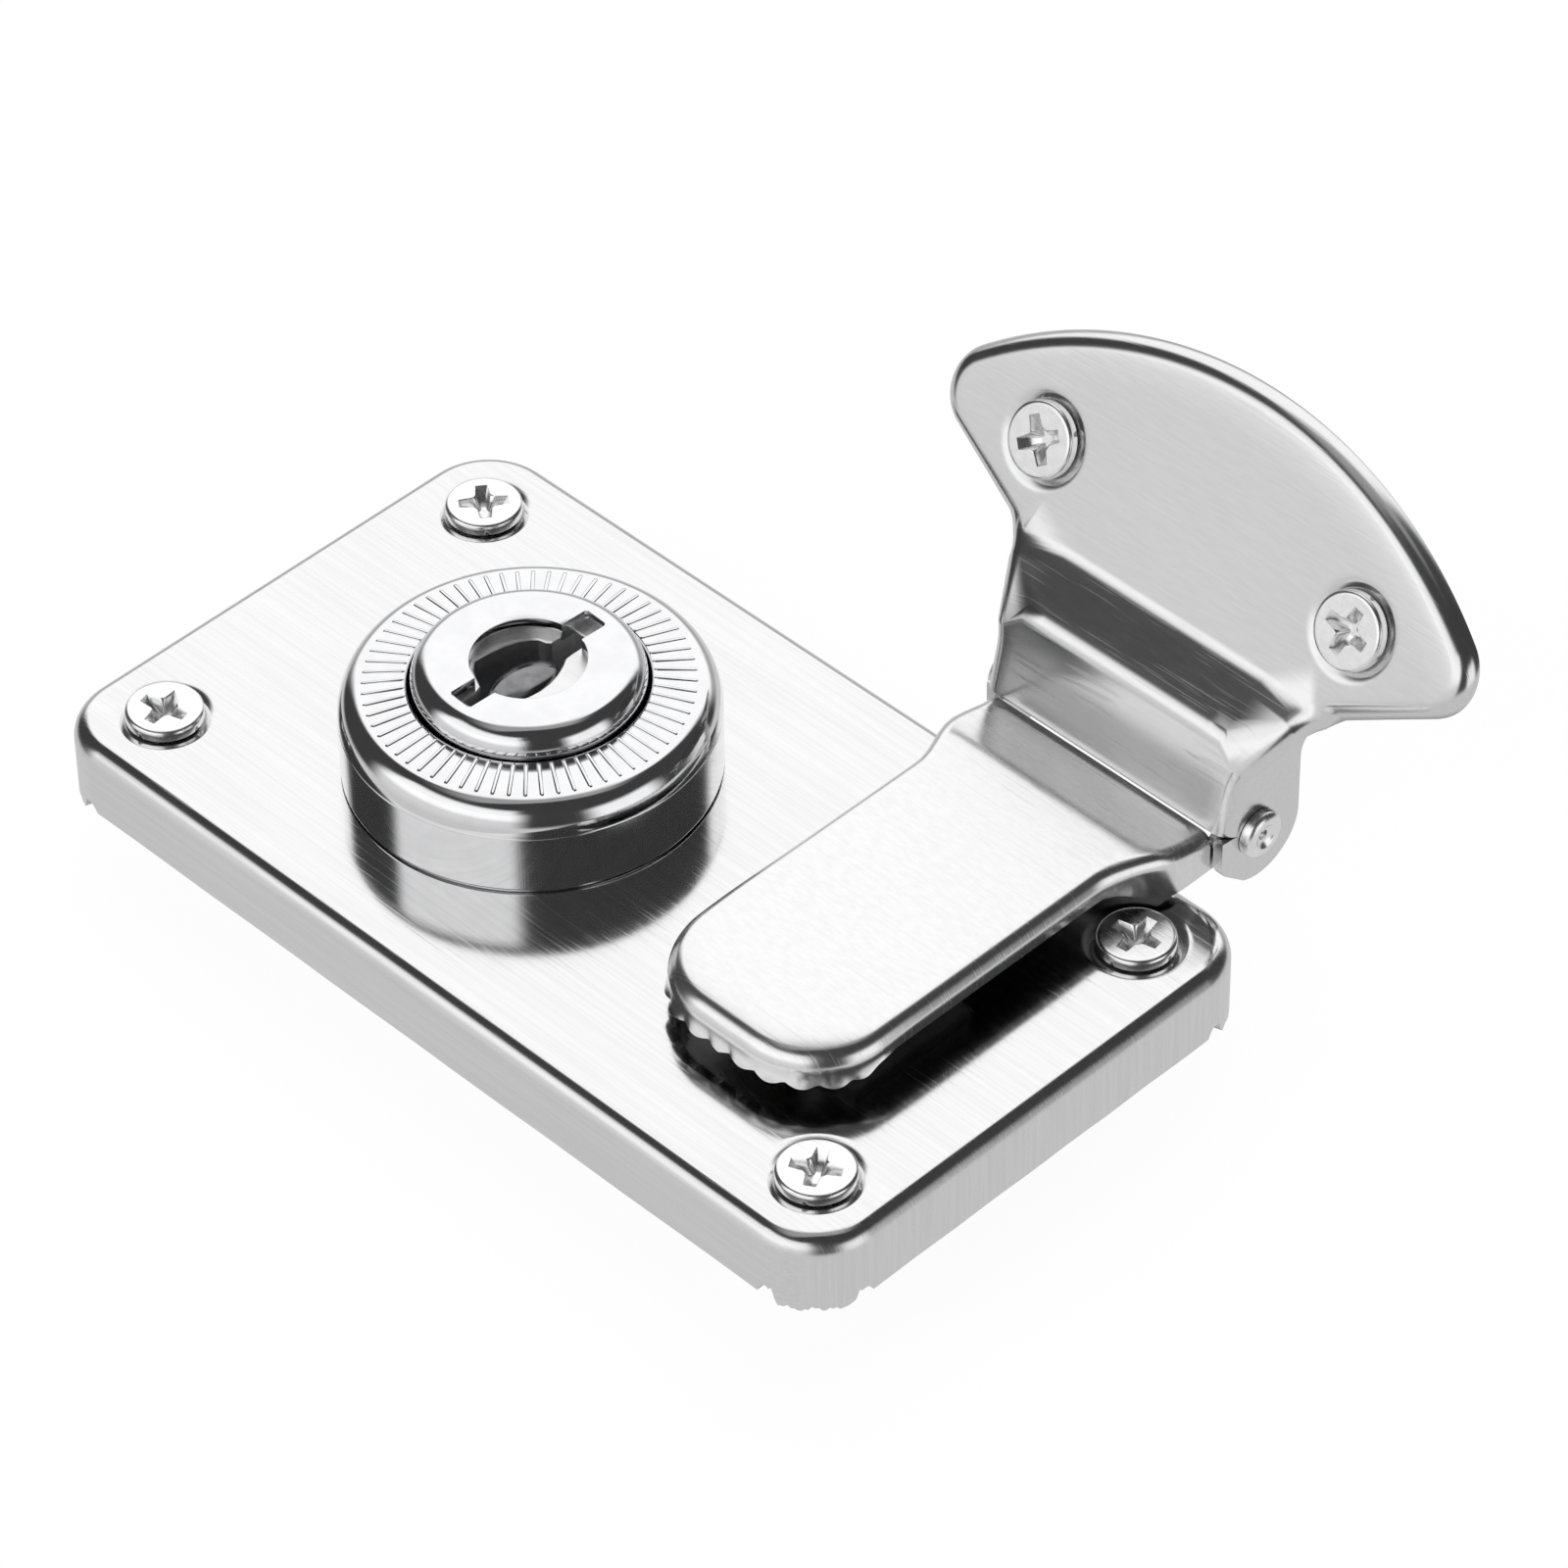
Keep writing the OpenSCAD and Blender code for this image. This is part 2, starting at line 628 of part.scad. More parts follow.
// Angle piece under the arm whose tongue drops through the plate and takes the bolt in its window
module catch() {
    shoulder = tongue_w + 2 * shoulder_side;
    seat = top + arm_h - arm_t;
    tip = top - bolt_bottom - window_air - 1;
    color("slategray") difference() {
        union() {
            translate([arm_x - catch_t / 2, lock_y - shoulder / 2, seat - catch_t])
                cube([catch_l, shoulder, catch_t]);
            translate([arm_x - catch_t / 2, lock_y - shoulder / 2, top + air])
                cube([catch_t, shoulder, seat - top - air]);
            translate([arm_x - catch_t / 2, lock_y - tongue_w / 2, tip + tongue_r])
                cube([catch_t, tongue_w, top - tip]);
            translate([arm_x - catch_t / 2, lock_y - tongue_w / 2 + tongue_r, tip])
                cube([catch_t, tongue_w - 2 * tongue_r, tongue_r + 1]);
            for (side = [-1, 1])
                translate([arm_x - catch_t / 2, lock_y + side * (tongue_w / 2 - tongue_r), tip + tongue_r])
                    rotate([0, 90, 0]) cylinder(h = catch_t, r = tongue_r);
        }
        translate([arm_x - catch_t, lock_y - bolt_w / 2 - window_air, top - bolt_bottom - window_air])
            cube([2 * catch_t, bolt_w + 2 * window_air, bolt_t + 2 * window_air]);
    }
}

// Riveted pin with a dimpled head at each end
module hinge_pin() {
    ear_face = arm_hinge_w / 2 + air + fan_t + 0.05;
    r = pin_d / 2;
    head = r + 0.55;
    color("gainsboro") translate([arm_x, pin_y, pin_z]) rotate([0, 90, 0]) rotate_extrude() polygon([
        [0, -ear_face - 0.6], [0.6, -ear_face - 0.6], [0.9, -ear_face - 1], [head - 0.4, -ear_face - 1],
        [head, -ear_face - 0.6], [head, -ear_face], [r, -ear_face], [r, ear_face], [head, ear_face],
        [head, ear_face + 0.6], [head - 0.4, ear_face + 1], [0.9, ear_face + 1], [0.6, ear_face + 0.6],
        [0, ear_face + 0.6]
    ]);
}

// Half width of the hinge plate's neck, whose sides run on as the ears
neck_half = arm_hinge_w / 2 + air + fan_t;
fan_rim = 1.7;
fan_bend_r = 1.45;
flank = 27;
neck_lean = 18;
neck_r = 7.2;
waist_r = 4.5;
fan_centre = fan_h - fan_r;
tip_c = [fan_w / 2 - tip_r, fan_centre + sqrt(pow(fan_r - tip_r, 2) - pow(fan_w / 2 - tip_r, 2))];
waist_x = neck_half + 6.3;
waist_on = tip_c + (tip_r + waist_r) * [sin(flank), -cos(flank)];
waist_c = waist_on - (waist_on[0] - waist_x) * [1, tan(flank)];
neck_x = neck_half + neck_r;
neck_c = [neck_x, ((neck_x - waist_x) * cos(neck_lean) - neck_r + waist_r) / sin(neck_lean) + waist_c[1]];

// Lengths along the hinge plate's profile, from its lower edge to the middle of the upper fold
fold_1 = fold_r * (strip_tilt - joggle_tilt) * PI / 180;
fold_2 = fold_r * (face_tilt - joggle_tilt) * PI / 180;
rise = strip_l + fold_1 + joggle_l + fold_2 / 2;

// Half outline of the hinge plate, flattened: across, and up from the upper fold
function fan_outline(inset) = concat(
    [for (v = [-rise - 4 + inset, min(-rise + strip_l / 2, neck_c[1] - 1)]) [neck_half - inset, v]],
    arc(neck_c, neck_r + inset, 180, 180 - neck_lean, 5),
    arc(waist_c, waist_r + inset, 180 - neck_lean, 90 + flank, 8),
    arc(tip_c, tip_r - inset, -90 + flank, atan2(tip_c[1] - fan_centre, tip_c[0]), 12),
    [for (i = [1:11]) let(a0 = atan2(tip_c[1] - fan_centre, tip_c[0]), a = a0 + (89 - a0) * i / 11)
        [0, fan_centre] + (fan_r - inset) * [cos(a), sin(a)]]
);

// End of a fold that turns from one angle to another
function fold(p, a0, a, r) = p + (a > a0 ? 1 : -1) * r * [sin(a) - sin(a0), cos(a0) - cos(a)];

// Place and slope of the hinge plate's outer face at a length from its lower edge: y, z and angle
fan_p1 = [strip_y, strip_z] + strip_l * [cos(strip_tilt), sin(strip_tilt)];
fan_p2 = fold(fan_p1, strip_tilt, joggle_tilt, fold_r);
fan_p3 = fan_p2 + joggle_l * [cos(joggle_tilt), sin(joggle_tilt)];
fan_p4 = fold(fan_p3, joggle_tilt, face_tilt, fold_r);
function fan_profile(t) =
    t < strip_l ? concat([strip_y, strip_z] + t * [cos(strip_tilt), sin(strip_tilt)], strip_tilt)
    : t < strip_l + fold_1 ? let(a = strip_tilt - (t - strip_l) / fold_r * 180 / PI)
        concat(fold(fan_p1, strip_tilt, a - eps, fold_r), a)
    : t < strip_l + fold_1 + joggle_l ? concat(fan_p2 + (t - strip_l - fold_1)
        * [cos(joggle_tilt), sin(joggle_tilt)], joggle_tilt)
    : t < strip_l + fold_1 + joggle_l + fold_2 ? let(a = joggle_tilt
        + (t - strip_l - fold_1 - joggle_l) / fold_r * 180 / PI) concat(fold(fan_p3, joggle_tilt, a + eps,
        fold_r), a)
    : concat(fan_p4 + (t - strip_l - fold_1 - joggle_l - fold_2) * [cos(face_tilt), sin(face_tilt)],
        face_tilt);

function on_fan(x, v, depth) = let(q = fan_profile(v + rise))
    [arm_x + x, q[0] + depth * sin(q[2]), q[1] - depth * cos(q[2])];
function fan_edge(p) = fold_r - 0.1 + (fan_rim - fold_r + 0.1) * ease(p[1], -2, 3);

// Moves its children onto the hinge plate's face: x across, y up the slope, z outward
module on_face(x, v) {
    p = on_fan(x, v, 0);
    translate(p) rotate([face_tilt, 0, 0]) children();
}

// Ear of the hinge plate as an outline in the YZ plane: front tab, gusset under the fold and pin lobe
module ear_shape() {
    lobe = [pin_y + 0.5, pin_z - 0.5];
    front = strip_y - 0.3;
    back = lobe[0] + ear_r;
    seam = [for (q = [
        [-rise, fan_bend_r + 0.15], [neck_c[1], fan_bend_r + 0.05], [-rise + strip_l, fan_t * 2 / 3],
        [-rise + strip_l + fold_1, fan_t / 2], [-fold_2, fan_t / 2]
    ]) let(s = on_fan(0, q[0], q[1])) [s[1], s[2]]];
    fold_end = seam[4];
    crook_r = 2;
    union() {
        translate(lobe) circle(r = ear_r);
        polygon(concat(
            [[lobe[0], lobe[1]], [front + 0.9, lobe[1] - 2.2], [front, lobe[1] - 1.2],
                [front, strip_z - 0.12]],
            seam,
            [[back + 0.7, fold_end[1] - 1.2]],
            arc([back + crook_r, strip_z + 3.4], crook_r, 130, 180, 5),
            [[back, lobe[1]]]
        ));
    }
}

module hinge_plate() {
    slot = 0.7;
    color("lightgray") difference() {
        union() {
            difference() {
                skin(sheet_loops(function(i) fan_outline(i), function(p) fan_edge(p), fan_bend_r, fan_t,
                    function(x, v, d) on_fan(x, v, d)));
                translate([arm_x - 20, strip_y, strip_z]) rotate([strip_tilt, 0, 0])
                    translate([0, -8, -5]) cube([40, 8, 10]);
            }
            side_plates(neck_half, fan_t) ear_shape();
            for (side = [-1, 1]) on_face(side * fan_screws / 2, fan_screw_up) screw_seat(fan_t);
        }
        for (side = [-1, 1]) on_face(side * fan_screws / 2, fan_screw_up) screw_seat_cut(fan_t);
        for (y = [0, -slot]) translate([arm_x - neck_half - 1, pin_y + y, pin_z]) rotate([0, 90, 0])
            cylinder(h = 2 * neck_half + 2, r = pin_d / 2 + run);
        for (side = [-1, 1])
            translate([arm_x + side * neck_half - 1.5, pin_y - slot, pin_z - pin_d / 2 - run])
                cube([3, slot, pin_d + 2 * run]);
    }
}

module hinge_screws() {
    color("gainsboro") for (i = [0, 1])
        on_face((2 * i - 1) * fan_screws / 2, fan_screw_up) screw(fan_cross[i]);
}

base_plate();
base_screws();
lock_body();
keyhole_cap();
cylinder_housing();
mounting_bush();
lock_nut();
lock_case();
key_plug();
guide_post();
wafers();
wafer_springs();
drive_cam();
cam_pin();
bolt();
arm();
catch();
hinge_pin();
hinge_plate();
hinge_screws();
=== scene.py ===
"""Keyed hasp lock: a drawn base plate, a round chromed lock, a hollow hasp arm and a fan-shaped hinge plate.

Sizes are in millimetres and turned into metres where a mesh is made. Heights of the lock and of the
screws count from the base plate's top.
"""

import json
import logging
import math
from collections.abc import Callable, Sequence
from dataclasses import dataclass, field
from enum import Enum

import bmesh
import bpy
from mathutils import Matrix, Vector, geometry


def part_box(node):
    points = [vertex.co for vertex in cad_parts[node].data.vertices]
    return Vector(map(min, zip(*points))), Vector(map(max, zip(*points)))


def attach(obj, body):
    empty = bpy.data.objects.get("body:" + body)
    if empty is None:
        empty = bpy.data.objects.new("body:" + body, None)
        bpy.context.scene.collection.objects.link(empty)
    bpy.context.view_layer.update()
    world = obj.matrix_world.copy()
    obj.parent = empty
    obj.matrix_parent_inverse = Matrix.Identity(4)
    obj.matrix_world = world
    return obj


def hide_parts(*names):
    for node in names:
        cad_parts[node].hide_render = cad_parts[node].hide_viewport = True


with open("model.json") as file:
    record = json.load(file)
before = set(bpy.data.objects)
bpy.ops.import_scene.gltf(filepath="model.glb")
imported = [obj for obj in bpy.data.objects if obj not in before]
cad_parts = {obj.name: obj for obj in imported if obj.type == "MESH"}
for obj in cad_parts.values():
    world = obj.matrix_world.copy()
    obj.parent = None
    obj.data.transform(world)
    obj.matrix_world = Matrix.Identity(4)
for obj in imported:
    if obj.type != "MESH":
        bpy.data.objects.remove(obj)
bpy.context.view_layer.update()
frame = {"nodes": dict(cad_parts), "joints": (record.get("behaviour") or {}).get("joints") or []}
LOG = logging.getLogger("hasp_lock")
MM = 0.001
Point = tuple[float, float]
Loop = list[Point]


class Body(Enum):
    """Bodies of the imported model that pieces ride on."""

    BASE = "base"
    PLUG = "plug"
    ARM = "arm"
    HINGE_PLATE = "hinge_plate"


class Slot(Enum):
    """Material slots of the record."""

    PLATE = "brushed_plate"
    ARM = "satin_arm"
    CHROME = "polished_chrome"
    SCREW = "screw_zinc"
    INNER = "inner_steel"
    DARK = "dark_steel"
    BRASS = "wafer_brass"


# Shader expressions

# Colour sockets of a Mix node, which share their names with those of its other types
MIX_FACTOR, MIX_FIRST, MIX_SECOND, MIX_RESULT = 0, 6, 7, 2


class Value:
    """A number in a node tree, so that shader maths is written as Python expressions."""

    def __init__(self, graph: "Graph", socket: bpy.types.NodeSocket) -> None:
        """Keeps the graph and the socket that carries the number."""
        self.graph = graph
        self.socket = socket

    def _math(self, operation: str, *values: "Value | float") -> "Value":
        """Adds a Math node.

        Args:
            operation: the node's operation.
            values: its inputs, in order.

        Returns:
            The node's output.
        """
        return self.graph.value("ShaderNodeMath", dict(enumerate(values)), operation=operation)

    def __add__(self, other: "Value | float") -> "Value":
        """Sum."""
        return self._math("ADD", self, other)

    __radd__ = __add__

    def __sub__(self, other: "Value | float") -> "Value":
        """Difference."""
        return self._math("SUBTRACT", self, other)

    def __rsub__(self, other: float) -> "Value":
        """Difference from a number."""
        return self._math("SUBTRACT", other, self)

    def __mul__(self, other: "Value | float") -> "Value":
        """Product."""
        return self._math("MULTIPLY", self, other)

    __rmul__ = __mul__

    def __abs__(self) -> "Value":
        """Absolute value."""
        return self._math("ABSOLUTE", self)

    def step(self, low: float, high: float, start: float = 0.0, end: float = 1.0) -> "Value":
        """Maps the value smoothly.

        Args:
            low: value at which the result is start.
            high: value at which the result is end.
            start: result at low and before.
            end: result at high and after.

        Returns:
            The mapped value.
        """
        return self.graph.value(
            "ShaderNodeMapRange", {0: self, 1: low, 2: high, 3: start, 4: end},
            interpolation_type="SMOOTHSTEP", clamp=True,
        )


class Graph:
    """A node tree that is filled by Python calls."""

    def __init__(self, tree: bpy.types.NodeTree) -> None:
        """Takes the tree and clears it."""
        self.tree = tree
        tree.nodes.clear()

    def node(self, kind: str, inputs: dict | None = None, **settings: object) -> bpy.types.Node:
        """Adds a node.

        Args:
            kind: the node's type.
            inputs: socket name or index to a value or a link.
            settings: the node's own settings, set first.

        Returns:
            The new node.
        """
        made = self.tree.nodes.new(kind)
        for name, value in settings.items():
            setattr(made, name, value)
        for key, value in (inputs or {}).items():
            self.feed(made.inputs[key], value)
        return made

    def feed(self, socket: bpy.types.NodeSocket, value: object) -> None:
        """Links or sets a socket.

        Args:
            socket: the input.
            value: a value or an output to link, or what the input is set to.
        """
        if isinstance(value, Value):
            value = value.socket
        if isinstance(value, bpy.types.NodeSocket):
            self.tree.links.new(value, socket)
        else:
            socket.default_value = value

    def value(
        self, kind: str, inputs: dict | None = None, output: int | str = 0, **settings: object
    ) -> Value:
        """Adds a node and returns one of its outputs as a value."""
        return Value(self, self.node(kind, inputs, **settings).outputs[output])

    def coordinates(self, scale: Sequence[float], turn: Sequence[float] = (0, 0, 0)) -> bpy.types.NodeSocket:
        """Object coordinates, turned and scaled.

        Args:
            scale: factors along the three axes, per metre.
            turn: turn of the pattern in degrees.

        Returns:
            The vector socket.
        """
        source = self.node("ShaderNodeTexCoord").outputs["Object"]
        angles = [math.radians(a) for a in turn]
        return self.node(
            "ShaderNodeMapping", {"Vector": source, "Scale": scale, "Rotation": angles}, vector_type="POINT"
        ).outputs[0]

    def noise(self, vector: bpy.types.NodeSocket, scale: float = 1.0, detail: float = 2.0,
              roughness: float = 0.5) -> Value:
        """Noise from 0 to 1.

        Args:
            vector: the place at which it is read.
            scale: its scale.
            detail: number of finer layers.
            roughness: strength of the finer layers.

        Returns:
            The noise.
        """
        return self.value(
            "ShaderNodeTexNoise",
            {"Vector": vector, "Scale": scale, "Detail": detail, "Roughness": roughness},
        )

    def tint(self, factor: Value, low: object, high: object) -> bpy.types.NodeSocket:
        """Mixes two colours, each given as numbers or as a socket.

        Args:
            factor: share of the second colour.
            low: the first colour.
            high: the second colour.

        Returns:
            The mixed colour's socket.
        """
        ends = [end if isinstance(end, bpy.types.NodeSocket) else (*end, 1) for end in (low, high)]
        mixed = self.node(
            "ShaderNodeMix", {MIX_FACTOR: factor, MIX_FIRST: ends[0], MIX_SECOND: ends[1]},
            data_type="RGBA", clamp_factor=True,
        )
        return mixed.outputs[MIX_RESULT]


# Finishes

LINE_SHARE = 0.7
PATCHES_PER_METRE = 180
SCRATCH_DEPTH = 0.004
SCRATCH_ROUGHNESS = 0.18
SCRATCH_RUNS = ((28, (110, 6400)), (-47, (150, 8200)), (81, (90, 5600)))
# Near-black colour of the painted shade on faces that look down
SHADE = (0.02, 0.02, 0.02)


@dataclass(frozen=True)
class Steel:
    """A bare or plated metal with brush lines, scratches, faint waves and painted shade on faces that look
    down.

    Attributes:
        name: the material's name.
        slot: the record's slot it belongs to; not used.
        low: colour of the darker streaks.
        high: colour of the brighter streaks.
        roughness: mean roughness.
        spread: how far the roughness varies.
        line: stretch of the brush lines along X, Y and Z, in lines per metre.
        line_depth: height of the brush lines, in millimetres.
        side_line: stretch of the lines on faces that look along X, or None for the same lines.
        scratches: strength of the fine scratches.
        wave: height of the slow waves in the sheet, in millimetres.
        wave_size: size of those waves, in millimetres.
        sides: roughness added on faces that don't look up or down.
        under: share of the colour that turns to painted shade on faces that look down, darkening the
            undersides.
    """

    name: str
    slot: Slot
    low: tuple[float, float, float]
    high: tuple[float, float, float]
    roughness: float
    spread: float
    line: tuple[float, float, float] = (60.0, 5200.0, 5200.0)
    line_depth: float = 0.004
    side_line: tuple[float, float, float] | None = None
    scratches: float = 0.0
    wave: float = 0.0
    wave_size: float = 6.0
    sides: float = 0.0
    under: float = 0.0

    def material(self) -> bpy.types.Material:
        """Builds the material, or finds it if it is there already.

        Returns:
            The material.
        """
        made = bpy.data.materials.get(self.name)
        if made:
            return made
        made = bpy.data.materials.new(self.name)
        made.use_nodes = True
        graph = Graph(made.node_tree)
        lines = graph.noise(graph.coordinates(self.line), detail=4.0, roughness=0.6)
        if self.side_line:
            side = graph.noise(graph.coordinates(self.side_line), detail=4.0, roughness=0.6)
            facing = abs(self._facing(graph, "X")).step(0.4, 0.8)
            lines = lines * (1 - facing) + side * facing
        patches = graph.noise(graph.coordinates((PATCHES_PER_METRE,) * 3), detail=3.0)
        tone = lines.step(0.3, 0.7) * LINE_SHARE + patches * (1 - LINE_SHARE)
        height = lines * self.line_depth
        rough = self.roughness + (lines - 0.5) * self.spread + (patches - 0.5) * self.spread
        if self.scratches:
            marks = self._scratches(graph)
            height = height - marks * (SCRATCH_DEPTH * self.scratches)
            rough = rough + marks * (SCRATCH_ROUGHNESS * self.scratches)
        if self.wave:
            slow = graph.noise(graph.coordinates((1 / (self.wave_size * MM),) * 3), detail=1.0)
            height = height + slow * self.wave
        colour = graph.tint(tone, self.low, self.high)
        if self.sides:
            rough = rough + abs(self._facing(graph, "Z")).step(0.95, 0.5) * self.sides
        # Painted shade: faces that look down are darkened towards the near-black SHADE colour
        if self.under:
            shaded = self._facing(graph, "Z").step(-0.2, -0.6) * self.under
            colour = graph.tint(shaded, colour, SHADE)
        bump = graph.node("ShaderNodeBump", {"Height": height, "Strength": 1.0, "Distance": MM})
        shader = graph.node("ShaderNodeBsdfPrincipled", {
            "Base Color": colour,
            "Metallic": 1.0,
            "Roughness": rough,
            "Normal": bump.outputs[0],
        })
        graph.node("ShaderNodeOutputMaterial", {"Surface": shader.outputs[0]})
        return made

    def _facing(self, graph: Graph, axis: str) -> Value:
        """How far a face looks along an axis of its object."""
        normal = graph.node("ShaderNodeTexCoord").outputs["Normal"]
        return graph.value("ShaderNodeSeparateXYZ", {"Vector": normal}, output=axis)

    def _scratches(self, graph: Graph) -> Value:
        """Sparse thin scratches in a few directions.

        Args:
            graph: the material's graph.

        Returns:
            The scratches, 1 where one is.
        """
        total = None
        for turn, (along, across) in SCRATCH_RUNS:
            vector = graph.coordinates((along, across, along), (0, 0, turn))
            streak = graph.noise(vector, detail=0.0).step(0.72, 0.78)
            total = streak if total is None else total + streak
        return total


PLATE_STEEL = Steel(
    "brushed_base_steel", Slot.PLATE, (0.70, 0.70, 0.70), (0.78, 0.78, 0.78), 0.12, 0.06,
    line=(60, 3600, 3600), line_depth=0.0012, side_line=(4200, 2600, 90), scratches=0.25,
    wave=0.02, wave_size=9, sides=0.16, under=0.8,
)
ARM_STEEL = Steel(
    "satin_arm_steel", Slot.ARM, (0.74, 0.74, 0.74), (0.80, 0.80, 0.80), 0.22, 0.05,
    line=(900, 2600, 2600), line_depth=0.0003, scratches=0.3, wave=0.02, wave_size=9, under=0.9,
)
FAN_STEEL = Steel(
    "satin_hinge_steel", Slot.ARM, (0.69, 0.69, 0.69), (0.73, 0.73, 0.73), 0.19, 0.03,
    line=(500, 3600, 3600), line_depth=0.0002, scratches=0.35, wave=0.06, wave_size=11, under=0.6,
)
CHROME = Steel(
    "mirror_chrome", Slot.CHROME, (0.72, 0.72, 0.73), (0.78, 0.78, 0.79), 0.10, 0.04,
    line=(500, 500, 500), line_depth=0.0003, scratches=0.12, wave=0.003, wave_size=5,
)
ZINC = Steel(
    "bright_zinc", Slot.SCREW, (0.80, 0.80, 0.80), (0.90, 0.90, 0.90), 0.24, 0.12,
    line=(1500, 1500, 1500), line_depth=0.005, scratches=0.3,
)
PLUG_ZINC = Steel(
    "matt_plug_zinc", Slot.SCREW, (0.84, 0.84, 0.84), (0.92, 0.92, 0.92), 0.42, 0.10,
    line=(1500, 1500, 1500), line_depth=0.002, scratches=0.3,
)
INNER_STEEL = Steel(
    "plain_inner_steel", Slot.INNER, (0.48, 0.48, 0.49), (0.62, 0.62, 0.62), 0.36, 0.15,
    line=(120, 3000, 3000), line_depth=0.004, scratches=0.4,
)
DARK_STEEL = Steel(
    "dark_post_steel", Slot.DARK, (0.16, 0.16, 0.17), (0.26, 0.26, 0.27), 0.14, 0.06,
    line=(900, 900, 900), line_depth=0.001,
)
BRASS = Steel(
    "wafer_brass", Slot.BRASS, (0.62, 0.46, 0.20), (0.80, 0.62, 0.30), 0.30, 0.12,
    line=(300, 3000, 3000), line_depth=0.003,
)


# Meshes

# Distance in metres under which two points of a mesh become one
MERGE = 2e-6


def arc(centre: Point, radius: float, start: float, end: float, steps: int) -> Loop:
    """Points of an arc.

    Args:
        centre: the arc's centre.
        radius: its radius.
        start: first angle in degrees.
        end: last angle in degrees.
        steps: number of steps.

    Returns:
        steps + 1 points.
    """
    angles = [math.radians(start + (end - start) * i / steps) for i in range(steps + 1)]
    return [(centre[0] + radius * math.cos(a), centre[1] + radius * math.sin(a)) for a in angles]


def ring(centre: Point, radius: float, steps: int = 64) -> Loop:
    """Closed circle of points."""
    return arc(centre, radius, 0, 360, steps)[:-1]


def turned(loop: Loop, angle: float) -> Loop:
    """Turns points about the origin.

    Args:
        loop: the points.
        angle: the turn in degrees, anticlockwise.

    Returns:
        The turned points.
    """
    c, s = math.cos(math.radians(angle)), math.sin(math.radians(angle))
    return [(x * c - y * s, x * s + y * c) for x, y in loop]


def raised(loop: Loop, z: float) -> list[Vector]:
    """Points of a flat loop at a height."""
    return [Vector((x, y, z)) for x, y in loop]


def ease(value: float, start: float, end: float) -> float:
    """Smooth step from 0 at start to 1 at end."""
    t = min(max((value - start) / (end - start), 0.0), 1.0)
    return t * t * (3 - 2 * t)


def inside(point: Point, loop: Loop) -> bool:
    """Tells whether a point lies in a loop.

    Args:
        point: the point.
        loop: the closed loop.

    Returns:
        True where the point is inside.
    """
    x, y = point
    found = False
    for (ax, ay), (bx, by) in zip(loop, loop[1:] + loop[:1]):
        if (ay > y) != (by > y) and x < (bx - ax) * (y - ay) / (by - ay) + ax:
            found = not found
    return found


def fill(
    outer: Loop, holes: Sequence[Loop] = (), guides: Sequence[Loop] = ()
) -> tuple[Loop, list[list[int]]]:
    """Fills a closed outline with triangles.

    Args:
        outer: the outline.
        holes: closed loops that are left open.
        guides: closed loops or loose points that become corners of triangles.

    Returns:
        The points and the triangles.
    """
    points: list[Vector] = []
    edges: list[tuple[int, int]] = []
    for loop in (outer, *holes, *guides):
        start = len(points)
        points += [Vector(p) for p in loop]
        if len(loop) > 2:
            edges += [(start + i, start + (i + 1) % len(loop)) for i in range(len(loop))]
    found, _, faces, *_ = geometry.delaunay_2d_cdt(points, edges, [], 1, 1e-5)
    flat = [(p.x, p.y) for p in found]
    kept = []
    for face in faces:
        middle = (sum(flat[i][0] for i in face) / len(face), sum(flat[i][1] for i in face) / len(face))
        if inside(middle, outer) and not any(inside(middle, hole) for hole in holes):
            kept.append(list(face))
    return flat, kept


